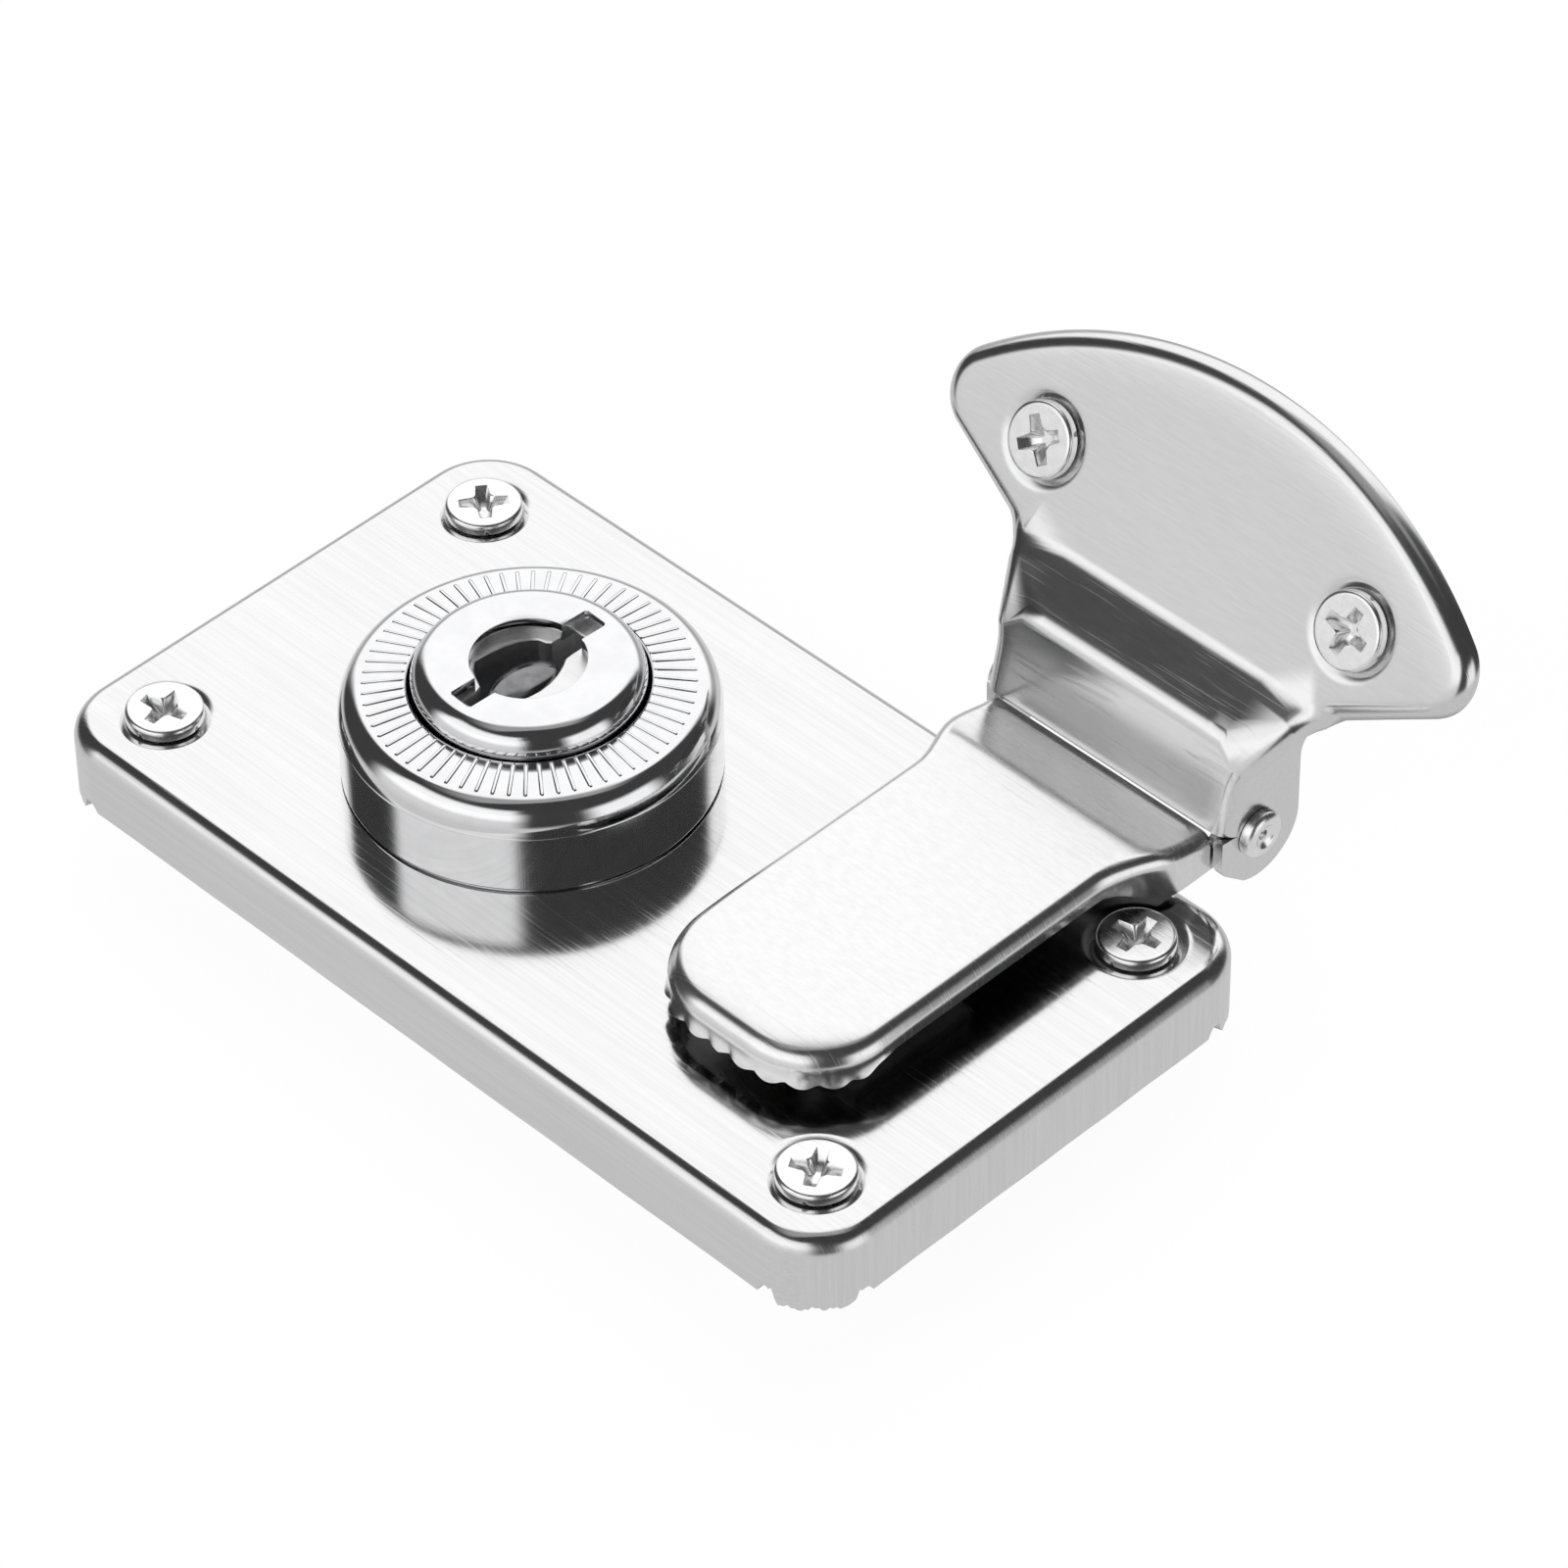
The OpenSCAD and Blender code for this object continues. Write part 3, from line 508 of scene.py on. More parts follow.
class Shape:
    """Points and faces of one piece, gathered in millimetres."""

    def __init__(self) -> None:
        """Starts an empty shape."""
        self.points: list[Vector] = []
        self.faces: list[list[int]] = []

    def add(self, points: Sequence[Sequence[float]], faces: Sequence[Sequence[int]]) -> None:
        """Adds points and faces.

        Args:
            points: the points.
            faces: the faces, as indices into those points.
        """
        start = len(self.points)
        self.points += [Vector(p) for p in points]
        self.faces += [[start + i for i in face] for face in faces]

    def rows(self, rows: Sequence[Sequence[Vector]], closed: bool = True) -> None:
        """Adds a band of quads through rows of equal length.

        Args:
            rows: the rows of points.
            closed: whether each row is a closed loop.
        """
        count = len(rows[0])
        last = count if closed else count - 1
        faces = []
        for k in range(0, (len(rows) - 1) * count, count):
            for i in range(last):
                after = (i + 1) % count
                faces.append([k + i, k + count + i, k + count + after, k + after])
        self.add([p for row in rows for p in row], faces)

    def revolve(self, profile: Loop, steps: int = 128, closed: bool = True) -> None:
        """Adds a surface of revolution round Z.

        Args:
            profile: radius and height of each point, with the outer side on the right of the way along it.
            steps: number of steps round the axis.
            closed: whether the profile's last point joins its first.
        """
        turns = [2 * math.pi * i / steps for i in range(steps)]
        loop = [*profile, profile[0]] if closed else profile
        self.rows([[Vector((r * math.cos(a), r * math.sin(a), z)) for a in turns] for r, z in loop])

    def move(self, matrix: Matrix) -> "Shape":
        """Applies a matrix to all points and returns the shape."""
        self.points = [matrix @ p for p in self.points]
        return self

    def mesh(self, name: str, sharp: float = 40.0, outward: bool = True) -> bpy.types.Mesh:
        """Makes the mesh in metres, with doubles merged and smooth shading up to an angle.

        Args:
            name: the mesh's name.
            sharp: angle in degrees from which an edge stays sharp.
            outward: whether the normals are turned outwards, as on a closed solid.

        Returns:
            The mesh.
        """
        mesh = bpy.data.meshes.new(name)
        mesh.from_pydata([p * MM for p in self.points], [], self.faces)
        work = bmesh.new()
        work.from_mesh(mesh)
        bmesh.ops.remove_doubles(work, verts=work.verts, dist=MERGE)
        bmesh.ops.dissolve_degenerate(work, dist=MERGE / 2, edges=work.edges)
        if outward:
            bmesh.ops.recalc_face_normals(work, faces=work.faces)
        shade(work, sharp)
        work.to_mesh(mesh)
        work.free()
        return mesh

    def piece(
        self, name: str, finish: Steel, body: Body, replaces: Sequence[str] = (), sharp: float = 40.0
    ) -> bpy.types.Object:
        """Makes the shape a finished piece that rides on a body."""
        return dress(link(name, self.mesh(name, sharp)), finish, body, replaces)


def shade(work: bmesh.types.BMesh, sharp: float) -> None:
    """Sets smooth faces and sharp edges.

    Args:
        work: the mesh that is worked on.
        sharp: angle in degrees from which an edge is sharp.
    """
    limit = math.radians(sharp)
    for face in work.faces:
        face.smooth = True
    for edge in work.edges:
        edge.smooth = len(edge.link_faces) != 2 or edge.calc_face_angle(0.0) < limit


def link(name: str, mesh: bpy.types.Mesh) -> bpy.types.Object:
    """Puts a mesh in the scene as an object at the origin.

    Args:
        name: the object's name.
        mesh: its mesh.

    Returns:
        The object.
    """
    made = bpy.data.objects.new(name, mesh)
    bpy.context.scene.collection.objects.link(made)
    return made


def baked(obj: bpy.types.Object, sharp: float | None = None) -> bpy.types.Object:
    """Applies an object's modifiers.

    Args:
        obj: the object.
        sharp: angle from which edges are sharp, or None to leave the shading.

    Returns:
        The same object with a plain mesh and no modifiers.
    """
    graph = bpy.context.evaluated_depsgraph_get()
    mesh = bpy.data.meshes.new_from_object(obj.evaluated_get(graph))
    obj.modifiers.clear()
    obj.data = mesh
    if sharp is not None:
        work = bmesh.new()
        work.from_mesh(mesh)
        shade(work, sharp)
        work.to_mesh(mesh)
        work.free()
    return obj


def dress(obj: bpy.types.Object, finish: Steel, body: Body, replaces: Sequence[str] = ()) -> bpy.types.Object:
    """Gives a piece its finish and body.

    Args:
        obj: the piece.
        finish: its finish.
        body: the body that it rides on.
        replaces: CAD nodes that it stands for.

    Returns:
        The piece.
    """
    obj.data.materials.clear()
    obj.data.materials.append(finish.material())
    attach(obj, body.value)
    if replaces:
        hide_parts(*replaces)
    LOG.info("%s: %d faces", obj.name, len(obj.data.polygons))
    return obj


# Sizes that several pieces share


def mm_box(node: str) -> tuple[Vector, Vector]:
    """Box of a CAD node in millimetres."""
    low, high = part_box(node)
    return low / MM, high / MM


PLATE_HIGH = mm_box("base_plate")[1]
LOCK_LOW, LOCK_HIGH = mm_box("lock_body")
JOINTS = {joint["name"]: joint for joint in frame["joints"]}
PIN = Vector(JOINTS["arm_swing"]["pos_m"]) / MM
TOP = PLATE_HIGH.z
LOCK = Vector(((LOCK_LOW.x + LOCK_HIGH.x) / 2, (LOCK_LOW.y + LOCK_HIGH.y) / 2, TOP))
KEYHOLE_TURN = -2.5


@dataclass
class PressedSheet:
    """A sheet pressed over an outline, with a rolled edge and a skirt.

    Attributes:
        outline: gives the outline at an inset, with as many points at every inset.
        edge: depth of the sheet's edge at a point of the outline.
        place: position of a point at a depth under the sheet's face.
        bend: outer radius of the rolled edge.
        thickness: thickness of the sheet.
        closed: whether the outline is a closed loop.
        press: depth pressed into the face at a point.
        flare: how far the skirt stands out at a point, for a share of its height.
        holes: loops cut in the face.
        guides: loops or points that the face follows.
        skirt_rows: rows of the skirt.
        bend_steps: rows of the rolled edge.
        guard: distance of a row that keeps the face flat next to the rolled edge.
    """

    outline: Callable[[float], Loop]
    edge: Callable[[float, float], float]
    place: Callable[[float, float, float], Vector]
    bend: float
    thickness: float
    closed: bool = True
    press: Callable[[float, float], float] = lambda x, y: 0.0
    flare: Callable[[float, float, float], float] = lambda x, y, share: 0.0
    holes: list[Loop] = field(default_factory=list)
    guides: list[Loop] = field(default_factory=list)
    skirt_rows: int = 6
    bend_steps: int = 12
    guard: float = 0.25

    def skin(self) -> Shape:
        """Builds the sheet's outer face.

        Returns:
            The face as one open skin.
        """
        shape = Shape()
        outer = self.outline(self.bend)
        guard = self.outline(self.bend + self.guard)
        flat, faces = fill(outer, self.holes, [guard if self.closed else [], *self.guides])
        shape.add([self.place(x, y, self.press(x, y)) for x, y in flat], faces)
        rows = []
        for i in range(self.bend_steps + 1):
            a = math.pi / 2 * i / self.bend_steps
            depth = self.bend * (1 - math.cos(a))
            rows.append([self.place(x, y, depth) for x, y in self.outline(self.bend * (1 - math.sin(a)))])
        rim = self.outline(0.0)
        out = [Vector(a) - Vector(b) for a, b in zip(self.outline(-1.0), rim)]
        for k in range(1, self.skirt_rows + 1):
            share = k / self.skirt_rows
            row = []
            for (x, y), away in zip(rim, out):
                push = away * self.flare(x, y, share)
                depth = self.bend + share * (self.edge(x, y) - self.bend)
                row.append(self.place(x + push.x, y + push.y, depth))
            rows.append(row)
        shape.rows(rows, self.closed)
        return shape

    def solid(self, name: str, skin: Shape, sharp: float = 35.0) -> bpy.types.Object:
        """Gives a skin its thickness.

        Args:
            name: the piece's name.
            skin: the outer face.
            sharp: angle from which edges are sharp.

        Returns:
            The object with a closed mesh.
        """
        obj = link(name, skin.mesh(name, sharp))
        solidify = obj.modifiers.new("thickness", "SOLIDIFY")
        solidify.thickness = self.thickness * MM
        solidify.offset = -1
        solidify.use_even_offset = True
        solidify.use_quality_normals = True
        return baked(obj, sharp)


@dataclass
class ScrewSeat:
    """A dimple round a countersunk screw.

    Attributes:
        hole_r: radius of the hole.
        lip_r: radius at which the dimple starts.
        depth: depth of the dimple at the hole.
        run: how far under the head the dimple's slope goes on.
        rings: number of rings that the dimple's slope follows.
        margin: distance of the last ring, which keeps the sheet flat outside the dimple.
    """

    hole_r: float = 2.62
    lip_r: float = 4.1
    depth: float = 0.55
    run: float = 0.5
    rings: int = 9
    margin: float = 0.15

    def press(self, distance: float) -> float:
        """Depth at a distance from the screw's axis."""
        return self.depth * (1 - ease(distance, self.hole_r - self.run, self.lip_r))

    def hole(self, centre: Point) -> Loop:
        """Loop of the hole."""
        return ring(centre, self.hole_r)

    def guides(self, centre: Point) -> list[Loop]:
        """Rings that the dimple follows.

        Args:
            centre: the screw's place.

        Returns:
            The rings, from the hole outwards.
        """
        grow = (self.lip_r - self.hole_r) / self.rings
        radii = [self.hole_r + grow * k for k in range(1, self.rings + 1)]
        return [ring(centre, r) for r in [*radii, self.lip_r + self.margin]]


SEAT = ScrewSeat()


@dataclass
class BasePlate:
    """The drawn base plate.

    Attributes:
        corner_r: corner radius seen from above.
        bend: radius of the rolled edge.
        thickness: thickness of the sheet.
        foot_h: how far the untrimmed corners reach below the straight edges.
        notch_h: height of the notches beside each foot.
        screw_x: distance of the screws from the middle, along X.
        screw_y: distance of the screws from the middle, along Y.
        half_l: half the length.
        half_w: half the width.
        ripple: height of the slow ripple in the straight edges.
        small_notch: height of a corner's smaller notch, as a share of its larger one.
        nick: share of the foot that is missing where it is nicked.
        coarse_tooth: height of the teeth under the foot.
        fine_tooth: height of the finer teeth beside it.
        tooth_limit: how far a tooth may reach below the foot.
        catch_gap: clearance of the slot in front of the catch's tongue.
        slot_w: width of that slot.
        slot_l: how far the slot reaches to the front and to the back of the lock's middle.
        bush_hole_r: radius of the hole for the lock's bush.
    """

    corner_r: float = 5.8
    bend: float = 1.6
    thickness: float = 0.8
    foot_h: float = 0.4
    notch_h: float = 0.85
    screw_x: float = 34.5
    screw_y: float = 16.5
    half_l: float = PLATE_HIGH.x
    half_w: float = PLATE_HIGH.y
    ripple: float = 0.06
    small_notch: float = 0.72
    nick: float = 0.75
    coarse_tooth: float = 0.14
    fine_tooth: float = 0.10
    tooth_limit: float = 0.12
    catch_gap: float = 0.5
    slot_w: float = 2.2
    slot_l: Point = (5.5, 4.5)
    bush_hole_r: float = 6.6

    def corners(self) -> list[Point]:
        """Centres of the corners, anticlockwise from the front left."""
        x, y = self.half_l - self.corner_r, self.half_w - self.corner_r
        return [(-x, -y), (x, -y), (x, y), (-x, y)]

    def outline(self, inset: float) -> Loop:
        """Outline of the plate.

        Args:
            inset: distance inside the plate's edge.

        Returns:
            The closed outline, anticlockwise.
        """
        points: Loop = []
        centres = self.corners()
        for i, (cx, cy) in enumerate(centres):
            turn = arc((cx, cy), self.corner_r - inset, 180 + 90 * i, 270 + 90 * i, 36)
            points += turn
            start = Vector(turn[-1])
            after = centres[(i + 1) % 4]
            end = Vector(arc(after, self.corner_r - inset, 270 + 90 * i, 270 + 90 * i, 1)[0])
            points += [tuple(start.lerp(end, k / 16)) for k in range(1, 16)]
        return points

    def edge(self, x: float, y: float) -> float:
        """Depth of the edge: straight sides, and a ragged torn foot at each corner.

        Args:
            x: place along the plate.
            y: place across the plate.

        Returns:
            The depth under the plate's top.
        """
        cx, cy = self.half_l - self.corner_r, self.half_w - self.corner_r
        across, along = abs(x) - cx, abs(y) - cy
        straight = TOP - self.foot_h
        if across <= 0 or along <= 0:
            return straight + self.ripple * math.sin(1.9 * x + 0.8 * y) * math.sin(0.53 * x - 0.4)
        angle = math.degrees(math.atan2(along, across))
        turn = min(angle, 90 - angle)
        side = (1 if x > 0 else 2) + (0 if y < 0 else 5)
        nicked = self.nick * ease(abs(angle - 41 - 3 * side % 7), 5.0, 2.0)
        foot = ease(turn, 13.5, 17.0) * (1 - nicked)
        notch = ease(turn, 0.5, 4.0) * ease(turn, 16.5, 12.5)
        notch *= 1.0 if (angle < 45) == (side % 2 == 0) else self.small_notch
        teeth = self.coarse_tooth * math.sin(math.radians(angle * 23 + 40 * side)) * ease(turn, 12, 20)
        teeth += self.fine_tooth * math.sin(math.radians(angle * 61 + 70 * side)) * ease(turn, 2, 8)
        return straight + self.foot_h * foot - self.notch_h * notch - max(teeth, -self.tooth_limit)

    def screws(self) -> list[Point]:
        """Places of the four screws, in the order of their turns."""
        return [(sx * self.screw_x, sy * self.screw_y) for sx in (-1, 1) for sy in (-1, 1)]

    def press(self, x: float, y: float) -> float:
        """Depth of the dimples at a point."""
        return max(SEAT.press(math.hypot(x - sx, y - sy)) for sx, sy in self.screws())

    def build(self) -> None:
        """Builds the plate."""
        left = mm_box("catch")[0].x - self.catch_gap
        right = left + self.slot_w
        front, back = LOCK.y - self.slot_l[0], LOCK.y + self.slot_l[1]
        slot = [(left, front), (right, front), (right, back), (left, back)]
        guides = [g for centre in self.screws() for g in SEAT.guides(centre)]
        sheet = PressedSheet(
            outline=self.outline, edge=self.edge, place=lambda x, y, d: Vector((x, y, TOP - d)),
            bend=self.bend, thickness=self.thickness, press=self.press,
            holes=[*(SEAT.hole(c) for c in self.screws()), ring((LOCK.x, LOCK.y), self.bush_hole_r), slot],
            guides=guides, skirt_rows=8,
        )
        dress(sheet.solid("base_plate_sheet", sheet.skin()), PLATE_STEEL, Body.BASE, ["base_plate"])


@dataclass
class Arm:
    """The hollow hasp arm, with a lug on each side of the hinge pin.

    Attributes:
        width: width of the arm.
        hinge_width: width over the lugs.
        height: height of the arm's top above the plate.
        lift: height of the skirt's edge above the plate.
        tail_lift: height of that edge near the hinge.
        nose_skirt: how much deeper the skirt is round the nose.
        scallop: half the height of the nose's scallops.
        nose_r: radius of the nose's corners.
        thickness: thickness of the sheet.
        bend: radius of the rolled edge.
        ramp_drop: how far the top falls towards the hinge.
        ramp_l: length of that ramp.
        ramp_from: distance from the tail at which the ramp starts.
        ramp_soft: share of the ramp over which it starts softly.
        centre_x: place of the arm's middle.
        nose_y: place of the nose's front.
        tail_y: place of the top's end, in front of the pin.
        scallops: number of scallops on each half of the nose.
        skirt_rows: rows of the skirt.
        eye_r: radius of a lug's end round the pin.
        pin_hole_r: radius of its hole.
        crown_h: how far the sheet falls off at its edge.
        nose_crown: how much more it falls off at the nose.
        crown_w: width over which it falls off.
        nose_crown_w: how much wider that is at the nose.
        flare_out: how far the skirt stands out round the nose.
        flare_wave: how far its scallops stand in and out.
    """

    width: float = 19.1
    hinge_width: float = 22.6
    height: float = 5.0
    lift: float = 3.0
    tail_lift: float = 0.5
    nose_skirt: float = 0.95
    scallop: float = 0.17
    nose_r: float = 7.0
    thickness: float = 0.8
    bend: float = 1.2
    ramp_drop: float = 1.3
    ramp_l: float = 6.0
    ramp_from: float = 6.5
    ramp_soft: float = 0.2
    centre_x: float = PIN.x
    nose_y: float = mm_box("arm")[0].y
    tail_y: float = PIN.y - 3.6
    scallops: float = 11.0
    skirt_rows: int = 10
    eye_r: float = 2.1
    pin_hole_r: float = 1.42
    crown_h: float = 0.15
    nose_crown: float = 0.4
    crown_w: float = 2.2
    nose_crown_w: float = 1.2
    flare_out: float = 0.15
    flare_wave: float = 0.12

    def half(self, y: float) -> float:
        """Half width at a place along the arm."""
        grow = ease(y, self.tail_y - 10, self.tail_y - 3.5)
        return self.width / 2 + (self.hinge_width - self.width) / 2 * grow

    def outline(self, inset: float) -> Loop:
        """Outline of the arm.

        Args:
            inset: distance inside the arm's edge.

        Returns:
            The open outline, from the tail's left end round the nose to its right end.
        """
        stations, front_steps = 30, 12
        flat, start = self.width / 2 - self.nose_r, self.nose_y + self.nose_r
        side = []
        for k in range(stations + 1):
            y = start + (self.tail_y - self.nose_y - self.nose_r) * (k / stations)
            side.append((self.half(y) - inset, y))
        corner = arc((flat, start), self.nose_r - inset, -90, 0, 40)
        front = [(flat * k / front_steps, self.nose_y + inset) for k in range(front_steps)]
        right = [*front, *corner[:-1], *side]
        return [(-x, y) for x, y in reversed(right)] + right[0 if right[0][0] > 0 else 1:]

    def top(self, y: float) -> float:
        """Height of the arm's top above the plate, level up to the ramp.

        Args:
            y: place along the arm.

        Returns:
            The height.
        """
        along = min(max((y - self.tail_y + self.ramp_from) / self.ramp_l, 0.0), 1.0)
        soft = self.ramp_soft
        fall = along * along / (2 * soft) if along < soft else along - soft / 2
        return self.height - self.ramp_drop * fall / (1 - soft / 2)

    def crown(self, x: float, y: float) -> float:
        """How far the sheet falls off towards its edge, most at the nose.

        Args:
            x: place across the arm.
            y: place along the arm.

        Returns:
            The depth under the arm's top.
        """
        flat, start = self.width / 2 - self.nose_r, self.nose_y + self.nose_r
        if y > start:
            depth = self.half(y) - abs(x)
        elif abs(x) > flat:
            depth = self.nose_r - math.hypot(abs(x) - flat, start - y)
        else:
            depth = y - self.nose_y
        nose = 1 - ease(y, self.nose_y + 2, start + 4)
        fall = max(0.0, 1 - max(depth, 0.0) / (self.crown_w + self.nose_crown_w * nose)) ** 2
        ends = 1 - ease(y, self.tail_y - 10, self.tail_y - self.ramp_from)
        return (self.crown_h + self.nose_crown * nose) * fall * ends

    def around(self, x: float, y: float) -> float:
        """Angle round a corner of the nose in degrees: 0 on its straight front, 90 where the sides start."""
        reach = self.nose_y + self.nose_r - y
        return math.degrees(math.atan2(max(abs(x) - self.width / 2 + self.nose_r, 0.0), max(reach, 1e-6)))

    def lobes(self, x: float, y: float) -> float:
        """Wave of the scallops round the nose.

        Args:
            x: place across the arm.
            y: place along the arm.

        Returns:
            The wave from -1 to 1, and 0 on the straight sides.
        """
        if y > self.nose_y + self.nose_r:
            return 0.0
        flat = self.width / 2 - self.nose_r
        run = min(abs(x), flat) + self.nose_r * math.radians(self.around(x, y))
        share = run / (flat + self.nose_r * math.pi / 2)
        wave = 2 * abs(math.cos(share * self.scallops * math.pi / 2 + (0.5 if x > 0 else 0.0))) - 1
        return wave * (1 - ease(share, 0.82, 1.0))

    def edge(self, x: float, y: float) -> float:
        """Depth of the skirt's edge.

        Args:
            x: place across the arm.
            y: place along the arm.

        Returns:
            The depth under the sheet's face.
        """
        rim = self.lift - (self.lift - self.tail_lift) * ease(y, self.tail_y - 10.5, self.tail_y - 3.5)
        nose = 1 - ease(y, self.nose_y + self.nose_r * 0.55, self.nose_y + self.nose_r + 0.5)
        return self.top(y) - rim + self.nose_skirt * nose + self.scallop * self.lobes(x, y) - self.crown(x, y)

    def flare(self, x: float, y: float, share: float) -> float:
        """How far the skirt stands out at the nose's scallops."""
        wave = self.lobes(x, y)
        return (self.flare_out + self.flare_wave * wave) * share * share * (wave != 0)

    def place(self, x: float, y: float, depth: float) -> Vector:
        """Point of the arm's sheet."""
        return Vector((self.centre_x + x, y, TOP + self.top(y) - self.crown(x, y) - depth))

    def lug(self, shape: Shape, side: int) -> None:
        """Adds the flat wall that runs on to the pin.

        Args:
            shape: the arm's skin.
            side: -1 for the left wall, 1 for the right one.
        """
        face = self.hinge_width / 2 * side
        roll_end = TOP + self.top(self.tail_y) - self.bend
        rim = TOP + self.top(self.tail_y) - self.edge(0, self.tail_y)
        outline = [(self.tail_y, rim), (PIN.y - 0.8, PIN.z - self.eye_r + 0.1)]
        outline += arc((PIN.y, PIN.z), self.eye_r, -95, 150, 24)
        outline.append((self.tail_y + 0.6, roll_end + 0.5))
        row = (rim - roll_end) / self.skirt_rows
        outline += [(self.tail_y, roll_end + row * k) for k in range(self.skirt_rows)]
        flat, faces = fill(outline, [ring((PIN.y, PIN.z), self.pin_hole_r, 32)])
        order = faces if side > 0 else [f[::-1] for f in faces]
        shape.add([(self.centre_x + face, y, z) for y, z in flat], order)

    def build(self) -> None:
        """Builds the arm."""
        ramp, steps = 7.0, 30
        guides: list[Loop] = []
        for k in range(steps):
            y = self.tail_y - ramp + ramp * k / steps
            guides += [[(self.half(y) * 0.1 * i, y)] for i in range(-8, 9)]
        for inset in (1.75, 2.1, 2.5, 2.9, 3.4):
            guides += [[(x, y)] for x, y in self.outline(inset) if y < self.tail_y - ramp - 0.5]
        sheet = PressedSheet(
            outline=self.outline, edge=self.edge, place=self.place, bend=self.bend,
            thickness=self.thickness, closed=False, flare=self.flare, guides=guides,
            skirt_rows=self.skirt_rows,
        )
        skin = sheet.skin()
        for side in (-1, 1):
            self.lug(skin, side)
        dress(sheet.solid("hasp_arm_sheet", skin), ARM_STEEL, Body.ARM, ["arm"])


@dataclass
class HingePlate:
    """The fan-shaped hinge plate: strip, joggle and face in one folded sheet, with an ear on each side.

    Attributes:
        thickness: thickness of the sheet.
        width: width of the fan.
        arc_r: radius of its top arc.
        tip_r: radius of its two tips.
        height: height of the arc above the upper fold.
        bend: radius of the rolled edge.
        rim: depth of the fan's rim.
        strip_tilt: slope of the strip at the hinge, in degrees.
        joggle_tilt: slope of the joggle behind it.
        face_tilt: slope of the fan's face.
        strip_l: length of the strip.
        joggle_l: length of the joggle.
        fold_r: radius of the two folds.
        neck_half: half the width at the hinge.
        flank: slope of the fan's lower edges, in degrees.
        neck_lean: how far the neck leans outwards, in degrees.
        neck_r: radius where the neck starts to widen.
        waist_r: radius between the neck and the fan's lower edge.
        waist_out: how far the middle of that radius lies outside the neck.
        ear_r: radius of the ears round the pin.
        pin_hole_r: radius of the holes in the ears.
        screw_gap: distance between the two screws.
        screw_up: height of the screws above the upper fold.
        crown_h: how far the face falls off at the top arc.
        crown_w: width over which it falls off.
    """

    thickness: float = 0.9
    width: float = 51.2
    arc_r: float = 37.5
    tip_r: float = 3.8
    height: float = 18.9
    bend: float = 1.45
    rim: float = 1.7
    strip_tilt: float = 77.0
    joggle_tilt: float = 32.0
    face_tilt: float = 62.5
    strip_l: float = 6.76
    joggle_l: float = 4.07
    fold_r: float = 2.2
    neck_half: float = 12.35
    flank: float = 27.0
    neck_lean: float = 18.0
    neck_r: float = 7.2
    waist_r: float = 4.5
    waist_out: float = 6.3
    ear_r: float = 4.1
    pin_hole_r: float = 1.45
    screw_gap: float = 30.5
    screw_up: float = 6.7
    crown_h: float = 0.2
    crown_w: float = 4.5

    def __post_init__(self) -> None:
        """Works out the places that follow from the sizes."""
        self.fold_1 = self.fold_r * math.radians(self.strip_tilt - self.joggle_tilt)
        self.fold_2 = self.fold_r * math.radians(self.face_tilt - self.joggle_tilt)
        self.rise = self.strip_l + self.fold_1 + self.joggle_l + self.fold_2 / 2
        self.start = Vector((PIN.y - 3.4, PIN.z + 1.1))
        self.p1 = self.start + self.strip_l * self.along(self.strip_tilt)
        self.p2 = self.fold(self.p1, self.strip_tilt, self.joggle_tilt)
        self.p3 = self.p2 + self.joggle_l * self.along(self.joggle_tilt)
        self.p4 = self.fold(self.p3, self.joggle_tilt, self.face_tilt)
        self.fan_centre = self.height - self.arc_r
        tip_x = self.width / 2 - self.tip_r
        self.tip = Vector((tip_x, self.fan_centre + math.sqrt((self.arc_r - self.tip_r) ** 2 - tip_x ** 2)))
        flank, lean = math.radians(self.flank), math.radians(self.neck_lean)
        waist_x = self.neck_half + self.waist_out
        on = self.tip + (self.tip_r + self.waist_r) * Vector((math.sin(flank), -math.cos(flank)))
        self.waist = on - (on.x - waist_x) * Vector((1, math.tan(flank)))
        neck_x = self.neck_half + self.neck_r
        reach = ((neck_x - waist_x) * math.cos(lean) - self.neck_r + self.waist_r) / math.sin(lean)
        self.neck = Vector((neck_x, reach + self.waist.y))

    @staticmethod
    def along(angle: float) -> Vector:
        """Unit vector up a slope, in YZ."""
        return Vector((math.cos(math.radians(angle)), math.sin(math.radians(angle))))

    def fold(self, point: Vector, start: float, end: float) -> Vector:
        """Follows a fold from one slope to another.

        Args:
            point: start of the fold in YZ.
            start: slope there, in degrees.
            end: slope at its end.

        Returns:
            The end of the fold.
        """
        a, b = math.radians(start), math.radians(end)
        way = Vector((math.sin(b) - math.sin(a), math.cos(a) - math.cos(b)))
        return point + self.fold_r * (1 if end > start else -1) * way

    def profile(self, t: float) -> tuple[Vector, float]:
        """Follows the outer face up from its lower edge.

        Args:
            t: length from the lower edge.

        Returns:
            The place in YZ and the slope in degrees.
        """
        marks = [self.strip_l, self.fold_1, self.joggle_l, self.fold_2]
        if t <= marks[0]:
            return self.start + t * self.along(self.strip_tilt), self.strip_tilt
        t -= marks[0]
        if t <= marks[1]:
            slope = self.strip_tilt - math.degrees(t / self.fold_r)
            return self.fold(self.p1, self.strip_tilt, slope) if t > 0 else self.p1, slope
        t -= marks[1]
        if t <= marks[2]:
            return self.p2 + t * self.along(self.joggle_tilt), self.joggle_tilt
        t -= marks[2]
        if t <= marks[3]:
            slope = self.joggle_tilt + math.degrees(t / self.fold_r)
            return self.fold(self.p3, self.joggle_tilt, slope) if t > 0 else self.p3, slope
        return self.p4 + (t - marks[3]) * self.along(self.face_tilt), self.face_tilt

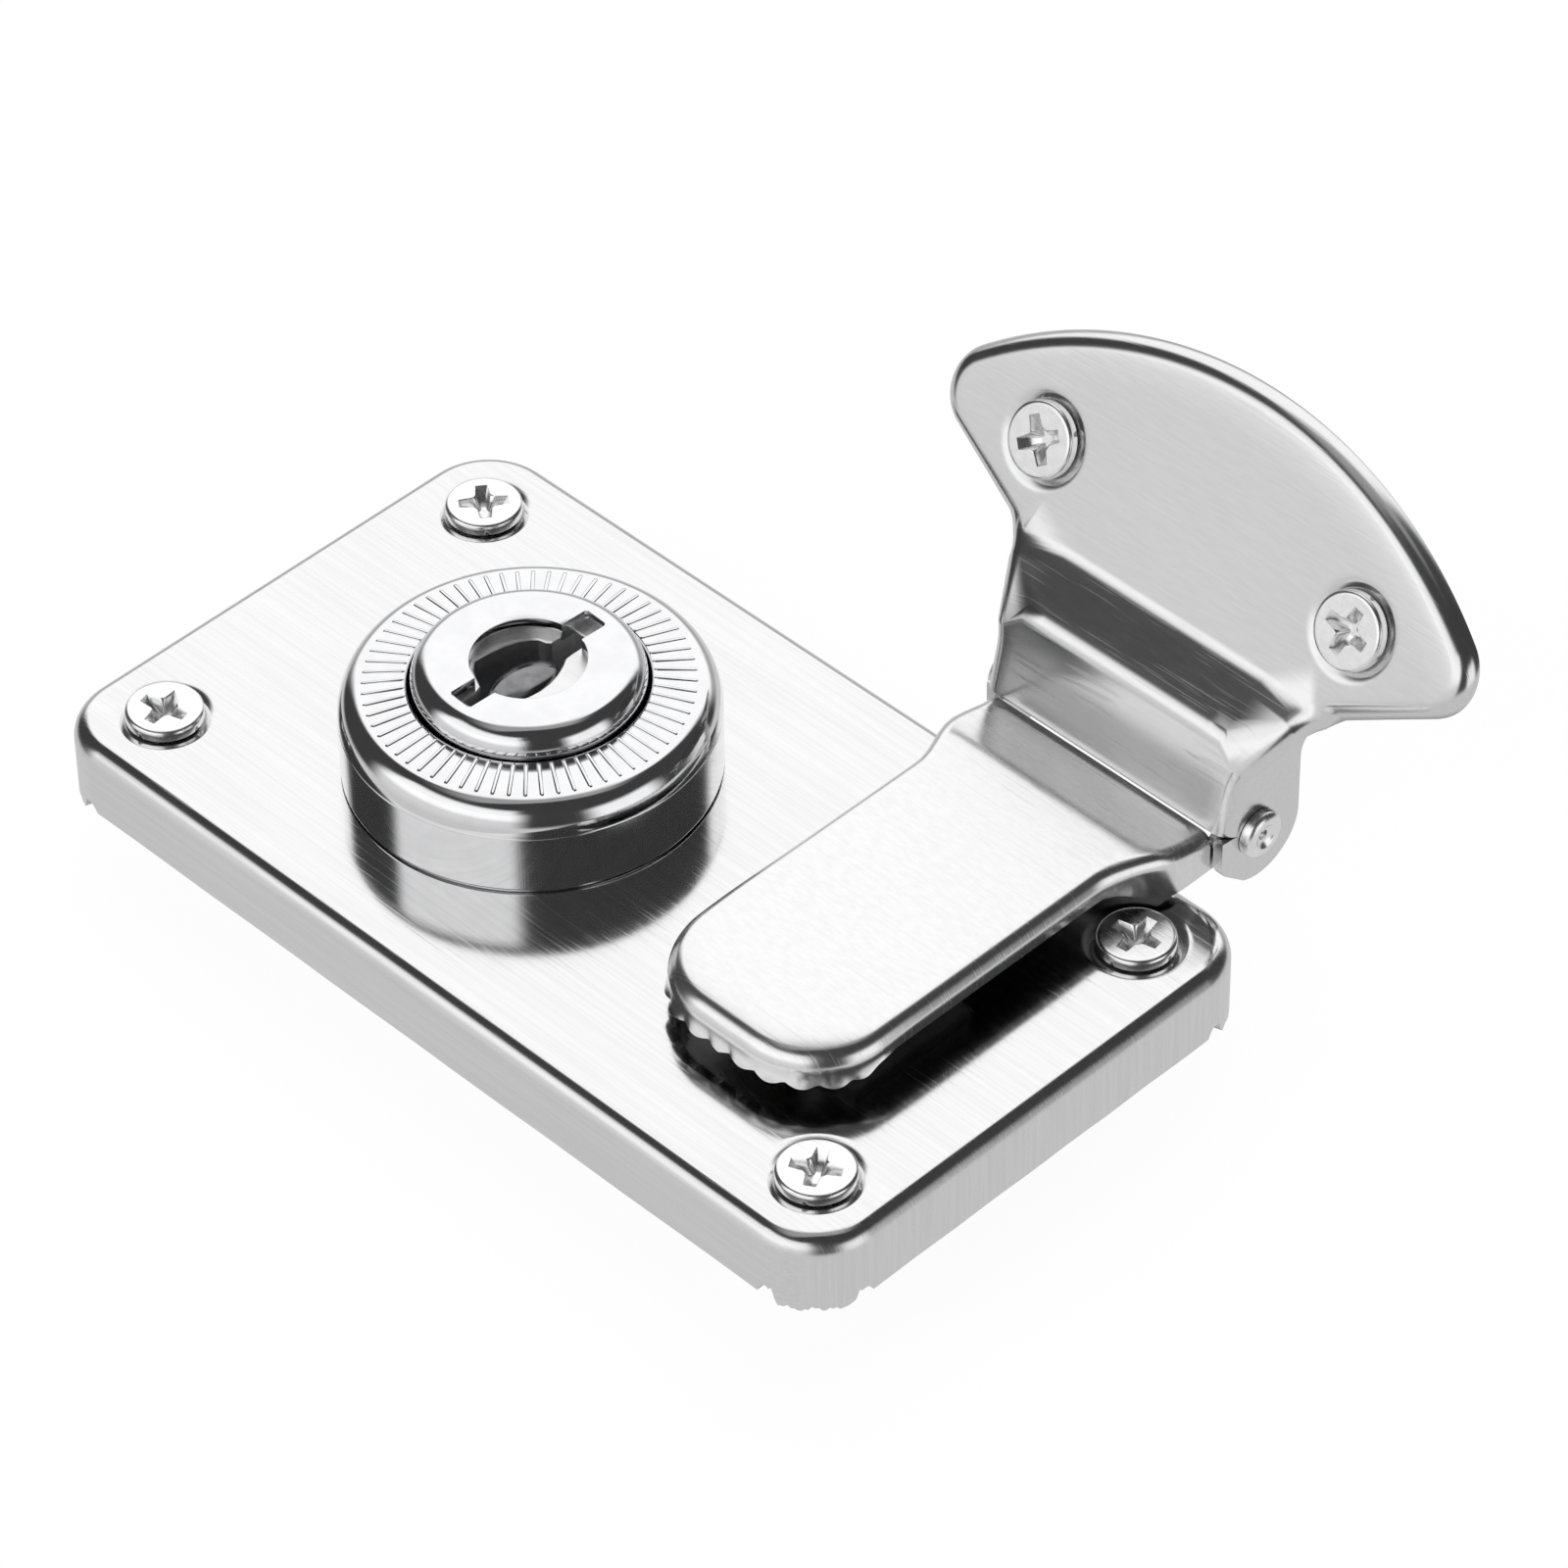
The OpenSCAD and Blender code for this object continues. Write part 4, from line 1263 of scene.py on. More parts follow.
    def place(self, x: float, v: float, depth: float) -> Vector:
        """Point of the sheet.

        Args:
            x: place across the sheet.
            v: place along it, from the upper fold.
            depth: depth under its outer face.

        Returns:
            The point.
        """
        spot, slope = self.profile(v + self.rise)
        a = math.radians(slope)
        depth += self.crown(x, v)
        return Vector((PIN.x + x, spot.x + depth * math.sin(a), spot.y - depth * math.cos(a)))

    def crown(self, x: float, v: float) -> float:
        """How far the face falls off towards the top arc."""
        inside_arc = self.arc_r - math.hypot(x, v - self.fan_centre)
        return self.crown_h * max(0.0, 1 - max(inside_arc, 0.0) / self.crown_w) ** 2 * ease(v, 0.5, 5)

    def levels(self) -> list[float]:
        """Rows that follow the folds.

        Returns:
            Their places, from the strip's lower edge upwards.
        """
        low = -self.rise
        marks = [low + self.strip_l * k / 4 for k in range(4)]
        marks += [low + self.strip_l + self.fold_1 * k / 12 for k in range(13)]
        start = low + self.strip_l + self.fold_1
        marks += [start + self.joggle_l * k / 4 for k in range(1, 4)]
        start += self.joggle_l
        marks += [start + self.fold_2 * k / 10 for k in range(11)]
        return marks

    def half_outline(self, inset: float) -> Loop:
        """Right half of the outline.

        Args:
            inset: distance inside the sheet's edge.

        Returns:
            The points from the strip's lower edge up to the middle of the top arc.
        """
        side = [(self.neck_half - inset, v) for v in self.levels() if v < self.neck.y - 0.05]
        neck = arc(tuple(self.neck), self.neck_r + inset, 180, 180 - self.neck_lean, 10)
        waist = arc(tuple(self.waist), self.waist_r + inset, 180 - self.neck_lean, 90 + self.flank, 16)
        turn = math.degrees(math.atan2(self.tip.y - self.fan_centre, self.tip.x))
        tip = arc(tuple(self.tip), self.tip_r - inset, -90 + self.flank, turn, 24)
        crown = arc((0.0, self.fan_centre), self.arc_r - inset, turn, 90, 40)[1:]
        return [*side, *neck, *waist, *tip, *crown]

    def outline(self, inset: float) -> Loop:
        """Open outline from the lower left end over the fan to the lower right end."""
        right = self.half_outline(inset)
        return [(-x, v) for x, v in right[:-1]] + right[::-1]

    def edge(self, x: float, v: float) -> float:
        """Depth of the rim at a point."""
        grown = ease(v, self.neck.y + 0.2, self.neck.y + 3)
        return self.bend + (self.rim - self.bend - self.crown(x, v)) * grown

    def screws(self) -> list[Point]:
        """Places of the two screws on the sheet."""
        return [(side * self.screw_gap / 2, self.screw_up) for side in (-1, 1)]

    def clear_of_screws(self, x: float, v: float) -> bool:
        """Whether a point lies well outside the dimples."""
        return all(math.hypot(x - sx, v - sv) > SEAT.lip_r + 1.1 for sx, sv in self.screws())

    def press(self, x: float, v: float) -> float:
        """Depth of the dimples at a point."""
        return max(SEAT.press(math.hypot(x - sx, v - sv)) for sx, sv in self.screws())

    def ear(self, shape: Shape, side: int) -> None:
        """Adds the flat wall of one ear, from the rolled edge down round the pin.

        Args:
            shape: the hinge plate's skin.
            side: -1 for the left ear, 1 for the right one.
        """
        lobe = (PIN.y + 0.5, PIN.z - 0.5)
        front = self.start.x + (0.6 if side < 0 else -0.3)
        back = lobe[0] + self.ear_r
        neck = self.neck.y
        seam = [v for v in self.levels() if v < neck - 0.05]
        beyond = [v for v in self.levels() if neck + 1.4 < v < -self.fold_2 - 0.1]
        under = self.bend - self.thickness - 0.1
        top_row = [self.place(0, v, self.bend - under * ease(v, neck, neck + 1.3))
                   for v in [*seam, neck, neck + 0.4, neck + 0.8, neck + 1.3, *beyond, -self.fold_2]]
        outline: Loop = [(p.y, p.z) for p in top_row]
        outline.append((back + 0.7, outline[-1][1] - 0.7))
        outline += arc((back + 2, PIN.z + 4.5), 2, 130, 180, 8)
        outline += arc(lobe, self.ear_r, 0, -115, 28)
        outline += [(front + 0.35, lobe[1] - 1.9), (front, lobe[1] - 1.2), (front, self.start.y - 0.12)]
        hole = arc((PIN.y, PIN.z), self.pin_hole_r, 90, -90, 16)
        hole += arc((PIN.y - 0.45, PIN.z), self.pin_hole_r, -90, -270, 16)
        flat, faces = fill(outline[::-1], [hole])
        order = faces if side > 0 else [f[::-1] for f in faces]
        shape.add([(PIN.x + self.neck_half * side, y, z) for y, z in flat], order)

    def build(self) -> None:
        """Builds the hinge plate."""
        guides: list[Loop] = [g for centre in self.screws() for g in SEAT.guides(centre)]
        for v in self.levels()[1:]:
            guides += [[(self.neck_half * 0.8 * k / 6, v)] for k in range(-6, 7)]
        for inset in (2.0, 2.5, 3.1, 3.8, 4.6):
            guides += [[(x, v)] for x, v in self.outline(inset) if v > 3 and self.clear_of_screws(x, v)]
        sheet = PressedSheet(
            outline=self.outline, edge=self.edge, place=self.place, bend=self.bend, thickness=self.thickness,
            closed=False, press=self.press, holes=[SEAT.hole(c) for c in self.screws()], guides=guides,
        )
        skin = sheet.skin()
        for side in (-1, 1):
            self.ear(skin, side)
        dress(sheet.solid("fan_hinge_plate", skin), FAN_STEEL, Body.HINGE_PLATE, ["hinge_plate"])


@dataclass
class Screw:
    """A countersunk cross-head screw with a raised head and a rolled thread.

    Attributes:
        head_d: diameter of the head.
        head_up: height of the head above the sheet.
        shank_d: diameter over the thread.
        length: length below the sheet's face.
        edge: depth of the head's edge under that face.
        round_r: radius of the head's rounded rim.
        recess_arm: reach of the cross from its middle.
        recess_w: width of its arms.
        recess_depth: depth of the cross.
        pitch: pitch of the thread.
        thread: depth of the thread.
        tip: length of the point.
    """

    head_d: float = 6.0
    head_up: float = 0.75
    shank_d: float = 2.9
    length: float = 11.2
    edge: float = 0.12
    round_r: float = 0.3
    recess_arm: float = 1.95
    recess_w: float = 1.15
    recess_depth: float = 1.15
    pitch: float = 1.1
    thread: float = 0.42
    tip: float = 2.0

    def cross(self, arm: float, width: float, round_r: float) -> Loop:
        """Outline of a cross with rounded inner corners.

        Args:
            arm: reach from its middle.
            width: width of an arm at its foot.
            round_r: radius of the inner corners.

        Returns:
            The closed outline, anticlockwise.
        """
        half = width / 2
        taper = 0.82
        quarter = [(arm, -half * taper), (arm, half * taper)]
        quarter += arc((half + round_r, half + round_r), round_r, -90, -180, 5)
        return [point for k in range(4) for point in turned(quarter, 90 * k)]

    def head(self, shape: Shape) -> None:
        """Adds the head with its cross recess.

        Args:
            shape: the screw's shape.
        """
        r = self.head_d / 2
        crown = self.round_r
        top = self.head_up
        rims = [(r, -self.edge), *[(r - crown + crown * math.cos(a), top - crown + crown * math.sin(a))
                                   for a in (0, 0.4, 0.8, 1.2, math.pi / 2)]]
        shape.rows([raised(ring((0, 0), rad), z) for rad, z in rims[::-1]])
        mouth = self.cross(self.recess_arm, self.recess_w, 0.42)
        flat, faces = fill(ring((0, 0), r - crown), [mouth], [ring((0, 0), r - crown - 0.1)])
        shape.add([(x, y, top) for x, y in flat], faces)
        lip = self.cross(self.recess_arm - 0.05, self.recess_w - 0.1, 0.4)
        mid = self.cross(self.recess_arm * 0.8, self.recess_w * 0.62, 0.34)
        floor = self.cross(self.recess_arm * 0.36, self.recess_w * 0.36, 0.2)
        depths = [(mouth, 0.0), (lip, 0.06), (mid, self.recess_depth * 0.55), (floor, self.recess_depth)]
        shape.rows([raised(loop, top - d) for loop, d in depths])
        flat, faces = fill(floor)
        shape.add([(x, y, top - self.recess_depth) for x, y in flat], faces)

    def shank(self, shape: Shape) -> None:
        """Adds the countersunk neck and the threaded shank down to the point.

        Args:
            shape: the screw's shape.
        """
        r, s = self.head_d / 2, self.shank_d / 2
        core = s - self.thread
        neck_end = s - r - self.edge
        z_start = neck_end - 0.25
        turns, per_turn = 28, 4
        neck = ((r, -self.edge), (s, neck_end), (core, z_start))
        rows = [raised(ring((0, 0), radius, turns), z) for radius, z in neck]
        total = int((self.length + z_start) / self.pitch * per_turn)
        for k in range(1, total):
            row = []
            for i in range(turns):
                phase = i / turns
                z = z_start - (k - phase) * self.pitch / per_turn
                z = min(z, z_start - 0.02 * k)
                fall = min(1.0, max(0.0, (z + self.length) / self.tip))
                crest = 1.0 if k % per_turn == 2 else 0.0
                radius = (core + self.thread * crest) * max(fall, 0.12)
                a = 2 * math.pi * phase
                row.append(Vector((radius * math.cos(a), radius * math.sin(a), max(z, -self.length))))
            rows.append(row)
        shape.rows(rows)
        last = rows[-1]
        shape.add([*last, Vector((0, 0, -self.length))],
                  [[i, turns, (i + 1) % turns] for i in range(turns)])

    def build(self) -> bpy.types.Mesh:
        """Builds the screw.

        Returns:
            Its mesh, with the sheet's face at height 0.
        """
        shape = Shape()
        self.head(shape)
        self.shank(shape)
        return shape.mesh("cross_head_screw", 38)


@dataclass
class ScrewSet:
    """Screws of one body, put on their seats by a node tree.

    Attributes:
        name: the piece's name.
        node: the CAD node that it stands for.
        body: the body that it rides on.
        places: the seats.
        normal: direction of the screws' heads.
        turns: turn of each screw about its axis, in degrees.
    """

    name: str
    node: str
    body: Body
    places: list[Vector]
    normal: Vector
    turns: list[float]

    def build(self, screw: bpy.types.Object) -> None:
        """Sets a copy of the screw on each seat.

        Args:
            screw: the object that is repeated.
        """
        mesh = bpy.data.meshes.new(self.name)
        mesh.from_pydata([p * MM for p in self.places], [], [])
        turn = mesh.attributes.new("turn", "FLOAT", "POINT")
        turn.data.foreach_set("value", [math.radians(t) for t in self.turns])
        host = link(self.name, mesh)
        tree = repeat_tree(f"{self.name}_on_seats", ZINC.material())
        modifier = host.modifiers.new("screws", "NODES")
        modifier.node_group = tree
        set_input(modifier, "Piece", screw)
        set_input(modifier, "Tilt", math.acos(self.normal.normalized().z))
        dress(baked(host), ZINC, self.body, [self.node])


def set_input(modifier: bpy.types.NodesModifier, name: str, value: object) -> None:
    """Sets a named input of a node modifier by its socket's identifier.

    Args:
        modifier: the modifier.
        name: the input's name.
        value: what it is set to.

    Raises:
        KeyError: if the tree has no such input.
    """
    for item in modifier.node_group.interface.items_tree:
        if item.item_type == "SOCKET" and item.in_out == "INPUT" and item.name == name:
            modifier[item.identifier] = value
            return
    raise KeyError(name)


def repeat_tree(name: str, finish: bpy.types.Material) -> bpy.types.NodeTree:
    """Node tree that puts an object on each point, tilted about X and turned by the point's turn.

    Args:
        name: the tree's name.
        finish: material of the copies.

    Returns:
        The tree, with inputs Piece and Tilt.
    """
    tree = bpy.data.node_groups.new(name, "GeometryNodeTree")
    graph = Graph(tree)
    face = tree.interface
    face.new_socket("Geometry", in_out="INPUT", socket_type="NodeSocketGeometry")
    face.new_socket("Piece", in_out="INPUT", socket_type="NodeSocketObject")
    face.new_socket("Tilt", in_out="INPUT", socket_type="NodeSocketFloat")
    face.new_socket("Geometry", in_out="OUTPUT", socket_type="NodeSocketGeometry")
    given = graph.node("NodeGroupInput").outputs
    copy = graph.node("GeometryNodeObjectInfo", {"Object": given["Piece"]}, transform_space="ORIGINAL")
    turn = graph.node("GeometryNodeInputNamedAttribute", {"Name": "turn"}, data_type="FLOAT")
    spin = graph.node("ShaderNodeCombineXYZ", {"Z": turn.outputs["Attribute"]})
    tilt = graph.node("ShaderNodeCombineXYZ", {"X": given["Tilt"]})
    placed = graph.node("GeometryNodeInstanceOnPoints", {
        "Points": given["Geometry"], "Instance": copy.outputs["Geometry"],
    })
    tilted = graph.node("GeometryNodeRotateInstances", {
        "Instances": placed.outputs[0], "Rotation": tilt.outputs[0], "Local Space": True,
    })
    spun = graph.node("GeometryNodeRotateInstances", {
        "Instances": tilted.outputs[0], "Rotation": spin.outputs[0], "Local Space": True,
    })
    real = graph.node("GeometryNodeRealizeInstances", {0: spun.outputs[0]})
    dressed = graph.node("GeometryNodeSetMaterial", {"Geometry": real.outputs[0], "Material": finish})
    graph.node("NodeGroupOutput", {0: dressed.outputs[0]})
    return tree


@dataclass
class RoundLock:
    """The chromed lock: cover with a ridged ring, boss with the keyhole, plug and guide post.

    Attributes:
        radius: radius of the cover.
        height: height of the cover.
        shoulder_out: width of its rounded shoulder.
        shoulder_down: height of the shoulder with the ring's fall.
        boss_r: radius of the boss.
        boss_h: height of the boss.
        boss_edge_out: width of the boss's rounded edge.
        boss_edge_down: height of that edge.
        ring_fall: how far the ring slopes down outwards.
        groove: gap between the boss and the ring.
        ridges: number of ridges on the ring.
        ridge_w: width of a ridge.
        ridge_h: height of a ridge.
        keyhole_d: diameter of the keyhole's disc.
        keyhole_l: length over its wings.
        keyhole_w: width of the wings.
        cap_t: thickness of the boss's top.
        recess: depth of the plug's face under the boss.
        plug_r: radius of the plug's face.
        slot_depth: depth of the slot in the plug.
        post_w: half the width of the guide post.
        post_l: half its length.
        post_rise: height of its dome.
        post_down: depth of the dome's foot under the plug's face.
    """

    radius: float = 14.35
    height: float = 8.27
    shoulder_out: float = 1.95
    shoulder_down: float = 2.9
    boss_r: float = 8.85
    boss_h: float = 10.2
    boss_edge_out: float = 1.75
    boss_edge_down: float = 1.9
    ring_fall: float = 0.42
    groove: float = 0.25
    ridges: int = 64
    ridge_w: float = 0.34
    ridge_h: float = 0.1
    keyhole_d: float = 8.8
    keyhole_l: float = 13.4
    keyhole_w: float = 2.2
    cap_t: float = 0.75
    recess: float = 1.35
    plug_r: float = 7.1
    slot_depth: float = 3.6
    post_w: float = 1.86
    post_l: float = 3.3
    post_rise: float = 0.8
    post_down: float = 0.75

    def cover(self) -> None:
        """Builds the round cover."""
        r, h = self.radius, self.height
        down = self.shoulder_down - self.ring_fall
        shoulder = [
            (r - self.shoulder_out * (1 - math.cos(a)), h - self.ring_fall - down * (1 - math.sin(a)))
            for a in [math.radians(84) * k / 28 for k in range(29)]
        ]
        inner = self.boss_r + self.groove
        seam = h - self.shoulder_down
        wall, deep = 1.1, 1.5
        profile = [(r - wall, 0.0), (r - 0.35, 0.0), (r - 0.3, 0.2), (r - 0.03, 0.22), (r, 0.26), (r, 0.34),
                   (r, 0.6), (r, seam - 0.5), (r, seam - 0.22), (r, seam - 0.14), (r - 0.05, seam - 0.06)]
        profile += [*shoulder, (inner + 0.25, h - 0.05), (inner + 0.08, h - 0.1), (inner, h - 0.2),
                    (inner, h - deep), (r - wall, h - deep)]
        shape = Shape()
        shape.revolve(profile, 160)
        shape.move(Matrix.Translation(LOCK)).piece("round_cover", CHROME, Body.BASE, ["lock_body"])

    def ridge(self) -> bpy.types.Object:
        """Builds one raised line of the ring.

        Returns:
            The line, lying along X at the ring's height.
        """
        start, end = self.boss_r + self.groove + 0.15, self.radius - self.shoulder_out + 0.12
        half, high = self.ridge_w / 2, self.ridge_h
        shape = Shape()
        section = [(half * math.cos(a), high * math.sin(a)) for a in [math.pi * k / 6 for k in range(7)]]
        rows = []
        for x, grow in ((start, 0.0), (start + 0.1, 0.8), (start + 0.25, 1.0), (end - 0.25, 1.0),
                        (end - 0.1, 0.9), (end, 0.0)):
            low = self.ring_fall * (x - start) / (end - start) + 0.03
            rows.append([Vector((x, y * max(grow, 0.4), z * grow - low)) for y, z in section])
        shape.rows(rows, closed=False)
        return link("ring_line", shape.mesh("ring_line", 50, outward=False))

    def ring_lines(self) -> None:
        """Repeats the raised line round the ring with a node tree."""
        line = self.ridge()
        tree = bpy.data.node_groups.new("lines_round_ring", "GeometryNodeTree")
        graph = Graph(tree)
        face = tree.interface
        face.new_socket("Geometry", in_out="INPUT", socket_type="NodeSocketGeometry")
        face.new_socket("Line", in_out="INPUT", socket_type="NodeSocketObject")
        face.new_socket("Count", in_out="INPUT", socket_type="NodeSocketInt")
        face.new_socket("Centre", in_out="INPUT", socket_type="NodeSocketVector")
        face.new_socket("Geometry", in_out="OUTPUT", socket_type="NodeSocketGeometry")
        given = graph.node("NodeGroupInput").outputs
        points = graph.node("GeometryNodePoints", {"Count": given["Count"], "Position": given["Centre"]})
        index = graph.value("GeometryNodeInputIndex")
        share = graph.value("ShaderNodeMath", {0: index, 1: given["Count"]}, operation="DIVIDE")
        turn = graph.node("ShaderNodeCombineXYZ", {"Z": share * math.tau})
        copy = graph.node("GeometryNodeObjectInfo", {"Object": given["Line"]}, transform_space="ORIGINAL")
        placed = graph.node("GeometryNodeInstanceOnPoints", {
            "Points": points.outputs[0], "Instance": copy.outputs["Geometry"], "Rotation": turn.outputs[0],
        })
        real = graph.node("GeometryNodeRealizeInstances", {0: placed.outputs[0]})
        dressed = graph.node("GeometryNodeSetMaterial", {
            "Geometry": real.outputs[0], "Material": CHROME.material(),
        })
        graph.node("NodeGroupOutput", {0: dressed.outputs[0]})
        host = link("ring_of_lines", bpy.data.meshes.new("ring_of_lines"))
        modifier = host.modifiers.new("lines", "NODES")
        modifier.node_group = tree
        set_input(modifier, "Line", line)
        set_input(modifier, "Count", self.ridges)
        set_input(modifier, "Centre", (LOCK + Vector((0, 0, self.height - 0.01))) * MM)
        dress(baked(host), CHROME, Body.BASE)
        bpy.data.objects.remove(line)

    def keyhole(self, grow: float = 0.0) -> Loop:
        """Outline of the keyhole, a disc with two wings.

        Args:
            grow: how much wider it is all round.

        Returns:
            The closed outline, anticlockwise.
        """
        r, half, reach = self.keyhole_d / 2 + grow, self.keyhole_w / 2 + grow, self.keyhole_l / 2 + grow
        meet = math.degrees(math.asin(half / r))
        cut = 0.2
        side = arc((0, 0), r, -90 + meet, 90 - meet, 28)
        end = [(half, reach - cut), (half - cut, reach), (-half + cut, reach), (-half, reach - cut)]
        return turned([*side, *end], KEYHOLE_TURN) + turned([*side, *end], KEYHOLE_TURN + 180)

    def cap(self) -> None:
        """Builds the boss with the keyhole."""
        r, h = self.boss_r, self.boss_h
        out, down = self.boss_edge_out, self.boss_edge_down
        shape = Shape()
        edge = [(r - out + out * math.cos(a), h - down + down * math.sin(a))
                for a in [math.pi / 2 * k / 20 for k in range(21)]]
        foot, inner, steps = self.height - 1.3, r - 0.6, 128
        shape.revolve([(inner, foot), (r, foot), *edge], steps, closed=False)
        flat, faces = fill(
            ring((0, 0), r - out, steps), [self.keyhole(0.06)], [ring((0, 0), r - out - 0.15, steps)]
        )
        shape.add(raised(flat, h), faces)
        lips = [(0.06, 0.0), (0.02, 0.02), (0.0, 0.07), (0.0, self.cap_t)]
        shape.rows([raised(self.keyhole(grow), h - depth) for grow, depth in lips])
        low = h - self.cap_t
        flat, faces = fill(ring((0, 0), inner, steps), [self.keyhole()])
        shape.add(raised(flat, low), [f[::-1] for f in faces])
        shape.rows([raised(ring((0, 0), inner, steps), z) for z in (low, foot)])
        shape.move(Matrix.Translation(LOCK)).piece("keyhole_boss", CHROME, Body.BASE, ["keyhole_cap"])

    def slot_outline(self) -> Loop:
        """Opening in the plug's face: a disc on the far side, a bulge round the post and two wings.

        Returns:
            The closed outline.
        """
        near = [(0.93, 5.6), (0.88, 4.7), (0.86, 3.5), (0.9, 2.85), (1.3, 2.2), (1.73, 1.2), (2.0, 0.2),
                (2.08, -0.87), (1.95, -1.9), (1.6, -2.8), (1.15, -3.4), (0.95, -4.2), (0.9, -5.6)]
        far = [(-1.1, -5.6), (-1.12, -4.4), (-1.4, -3.6), (-2.3, -3.15), (-3.1, -2.75), (-3.75, -2.0),
               (-3.68, -0.75), (-3.45, 0.66), (-3.0, 1.87), (-2.5, 2.6), (-2.1, 3.0), (-1.5, 3.16),
               (-1.14, 3.45), (-1.02, 4.46), (-0.97, 5.6)]
        return [*near, *far][::-1]

    def plug_face(self) -> None:
        """Builds the plug's face under the boss, with the slot's bright lip and its deep walls."""
        top = self.boss_h - self.recess
        slot = self.slot_outline()
        middle = Vector((-0.7, 0.0))
        wide = [tuple(Vector(q) + (Vector(q) - middle).normalized() * 0.1) for q in slot]
        low = top - self.slot_depth
        rim = ring((0, 0), self.plug_r, 96)
        shape = Shape()
        flat, faces = fill(rim, [wide])
        shape.add(raised(flat, top), faces)
        shape.rows([raised(wide, top), raised(slot, top - 0.1), raised(slot, low)])
        flat, faces = fill(rim, [slot])
        shape.add(raised(flat, low), [f[::-1] for f in faces])
        shape.rows([raised(rim, top), raised(rim, low)])
        shape.move(Matrix.Translation(LOCK)).piece("plug_face", PLUG_ZINC, Body.PLUG, ["key_plug"], 30)

    def plug_barrel(self) -> None:
        """Builds the plug below its face, down to the tang."""
        shape = Shape()
        floor = self.boss_h - self.recess - self.slot_depth + 0.1
        stem = mm_box("key_plug")[0].z - TOP
        profile = [(0.0, stem), (2.6, stem), (2.6, stem + 0.95), (5.0, stem + 1.1), (5.0, 1.45), (7.3, 1.5),
                   (7.4, 1.6), (7.4, floor - 0.1), (7.3, floor), (0.0, floor)]
        shape.revolve(profile, 72, closed=False)
        shape.move(Matrix.Translation(LOCK)).piece("plug_barrel", DARK_STEEL, Body.PLUG)

    def post(self) -> None:
        """Builds the domed guide post, oblong along the keyhole's wings."""
        middle = Vector((0.12, -0.7))
        edge = self.boss_h - self.recess - self.post_down
        far_share, reach, steps, levels = 0.94, 2.8, 48, 14
        rows = []
        for k in range(levels):
            a = math.pi / 2 * k / levels
            wide, long = self.post_w * math.cos(a), self.post_l * math.cos(a)
            loop = [(middle.x + wide * x, middle.y + long * y * (far_share if y > 0 else 1.0))
                    for x, y in ring((0, 0), 1.0, steps)]
            rows.append(raised(loop, edge + self.post_rise * math.sin(a)))
        foot = [Vector((q.x, q.y, edge - reach)) for q in rows[0]]
        shape = Shape()
        shape.rows([foot, *rows])
        shape.add([*rows[-1], Vector((middle.x, middle.y, edge + self.post_rise))],
                  [[i, (i + 1) % steps, steps] for i in range(steps)])
        shape.add(foot, [list(range(steps))[::-1]])
        shape.move(Matrix.Translation(LOCK))
        shape.piece("domed_guide_post", DARK_STEEL, Body.PLUG, ["guide_post"], 50)

    def build(self) -> None:
        """Builds the lock."""
        self.cover()
        self.ring_lines()
        self.cap()
        self.plug_face()
        self.plug_barrel()
        self.post()


@dataclass
class HingePin:
    """The riveted pin with a dimpled head at each end.

    Attributes:
        radius: radius of the pin.
        head_r: radius of its heads.
        face: distance of a head's inner face from the middle.
    """

    radius: float = 1.4
    head_r: float = 1.95
    face: float = 12.4

    def build(self) -> None:
        """Builds the pin along X."""
        r, head, f = self.radius, self.head_r, self.face
        end = [(r, f), (head, f), (head, f + 0.5), (head - 0.12, f + 0.78), (head - 0.5, f + 0.98),
               (head - 0.8, f + 0.98), (head - 1.0, f + 0.85), (0.7, f + 0.62), (0.42, f + 0.6),
               (0.36, f + 0.36), (0.0, f + 0.3)]
        profile = [(x, -z) for x, z in reversed(end)] + end
        shape = Shape()
        shape.revolve(profile, 56, closed=False)
        turn = Matrix.Rotation(math.radians(90), 4, "Y")
        shape.move(Matrix.Translation(PIN) @ turn).piece("riveted_pin", ZINC, Body.ARM, ["hinge_pin"], 48)


class Mechanism:
    """Pieces behind the plate, kept as the frame has them and given their finishes."""

    FINISHES = {
        "cylinder_housing": INNER_STEEL, "mounting_bush": INNER_STEEL, "lock_nut": INNER_STEEL,
        "lock_case": INNER_STEEL, "wafers": BRASS, "wafer_springs": INNER_STEEL, "drive_cam": INNER_STEEL,
        "cam_pin": INNER_STEEL, "bolt": INNER_STEEL, "catch": INNER_STEEL,
    }

    def build(self) -> None:
        """Dresses the pieces."""
        for node, finish in self.FINISHES.items():
            obj = frame["nodes"][node]
            obj.data.materials.clear()
            obj.data.materials.append(finish.material())


# Studio


@dataclass(frozen=True)
class Panel:
    """A white panel of the tent round the object, by the directions it fills.

    Attributes:
        azimuth: direction of its middle, 0 in front and 90 to the right, in degrees.
        half: half its width in degrees.
        low: elevation of its lower edge.
        high: elevation of its upper edge.
        strength: brightness.
        soft: width of its soft edge in degrees.
    """

    azimuth: float
    half: float
    low: float
    high: float
    strength: float
    soft: float = 6.0


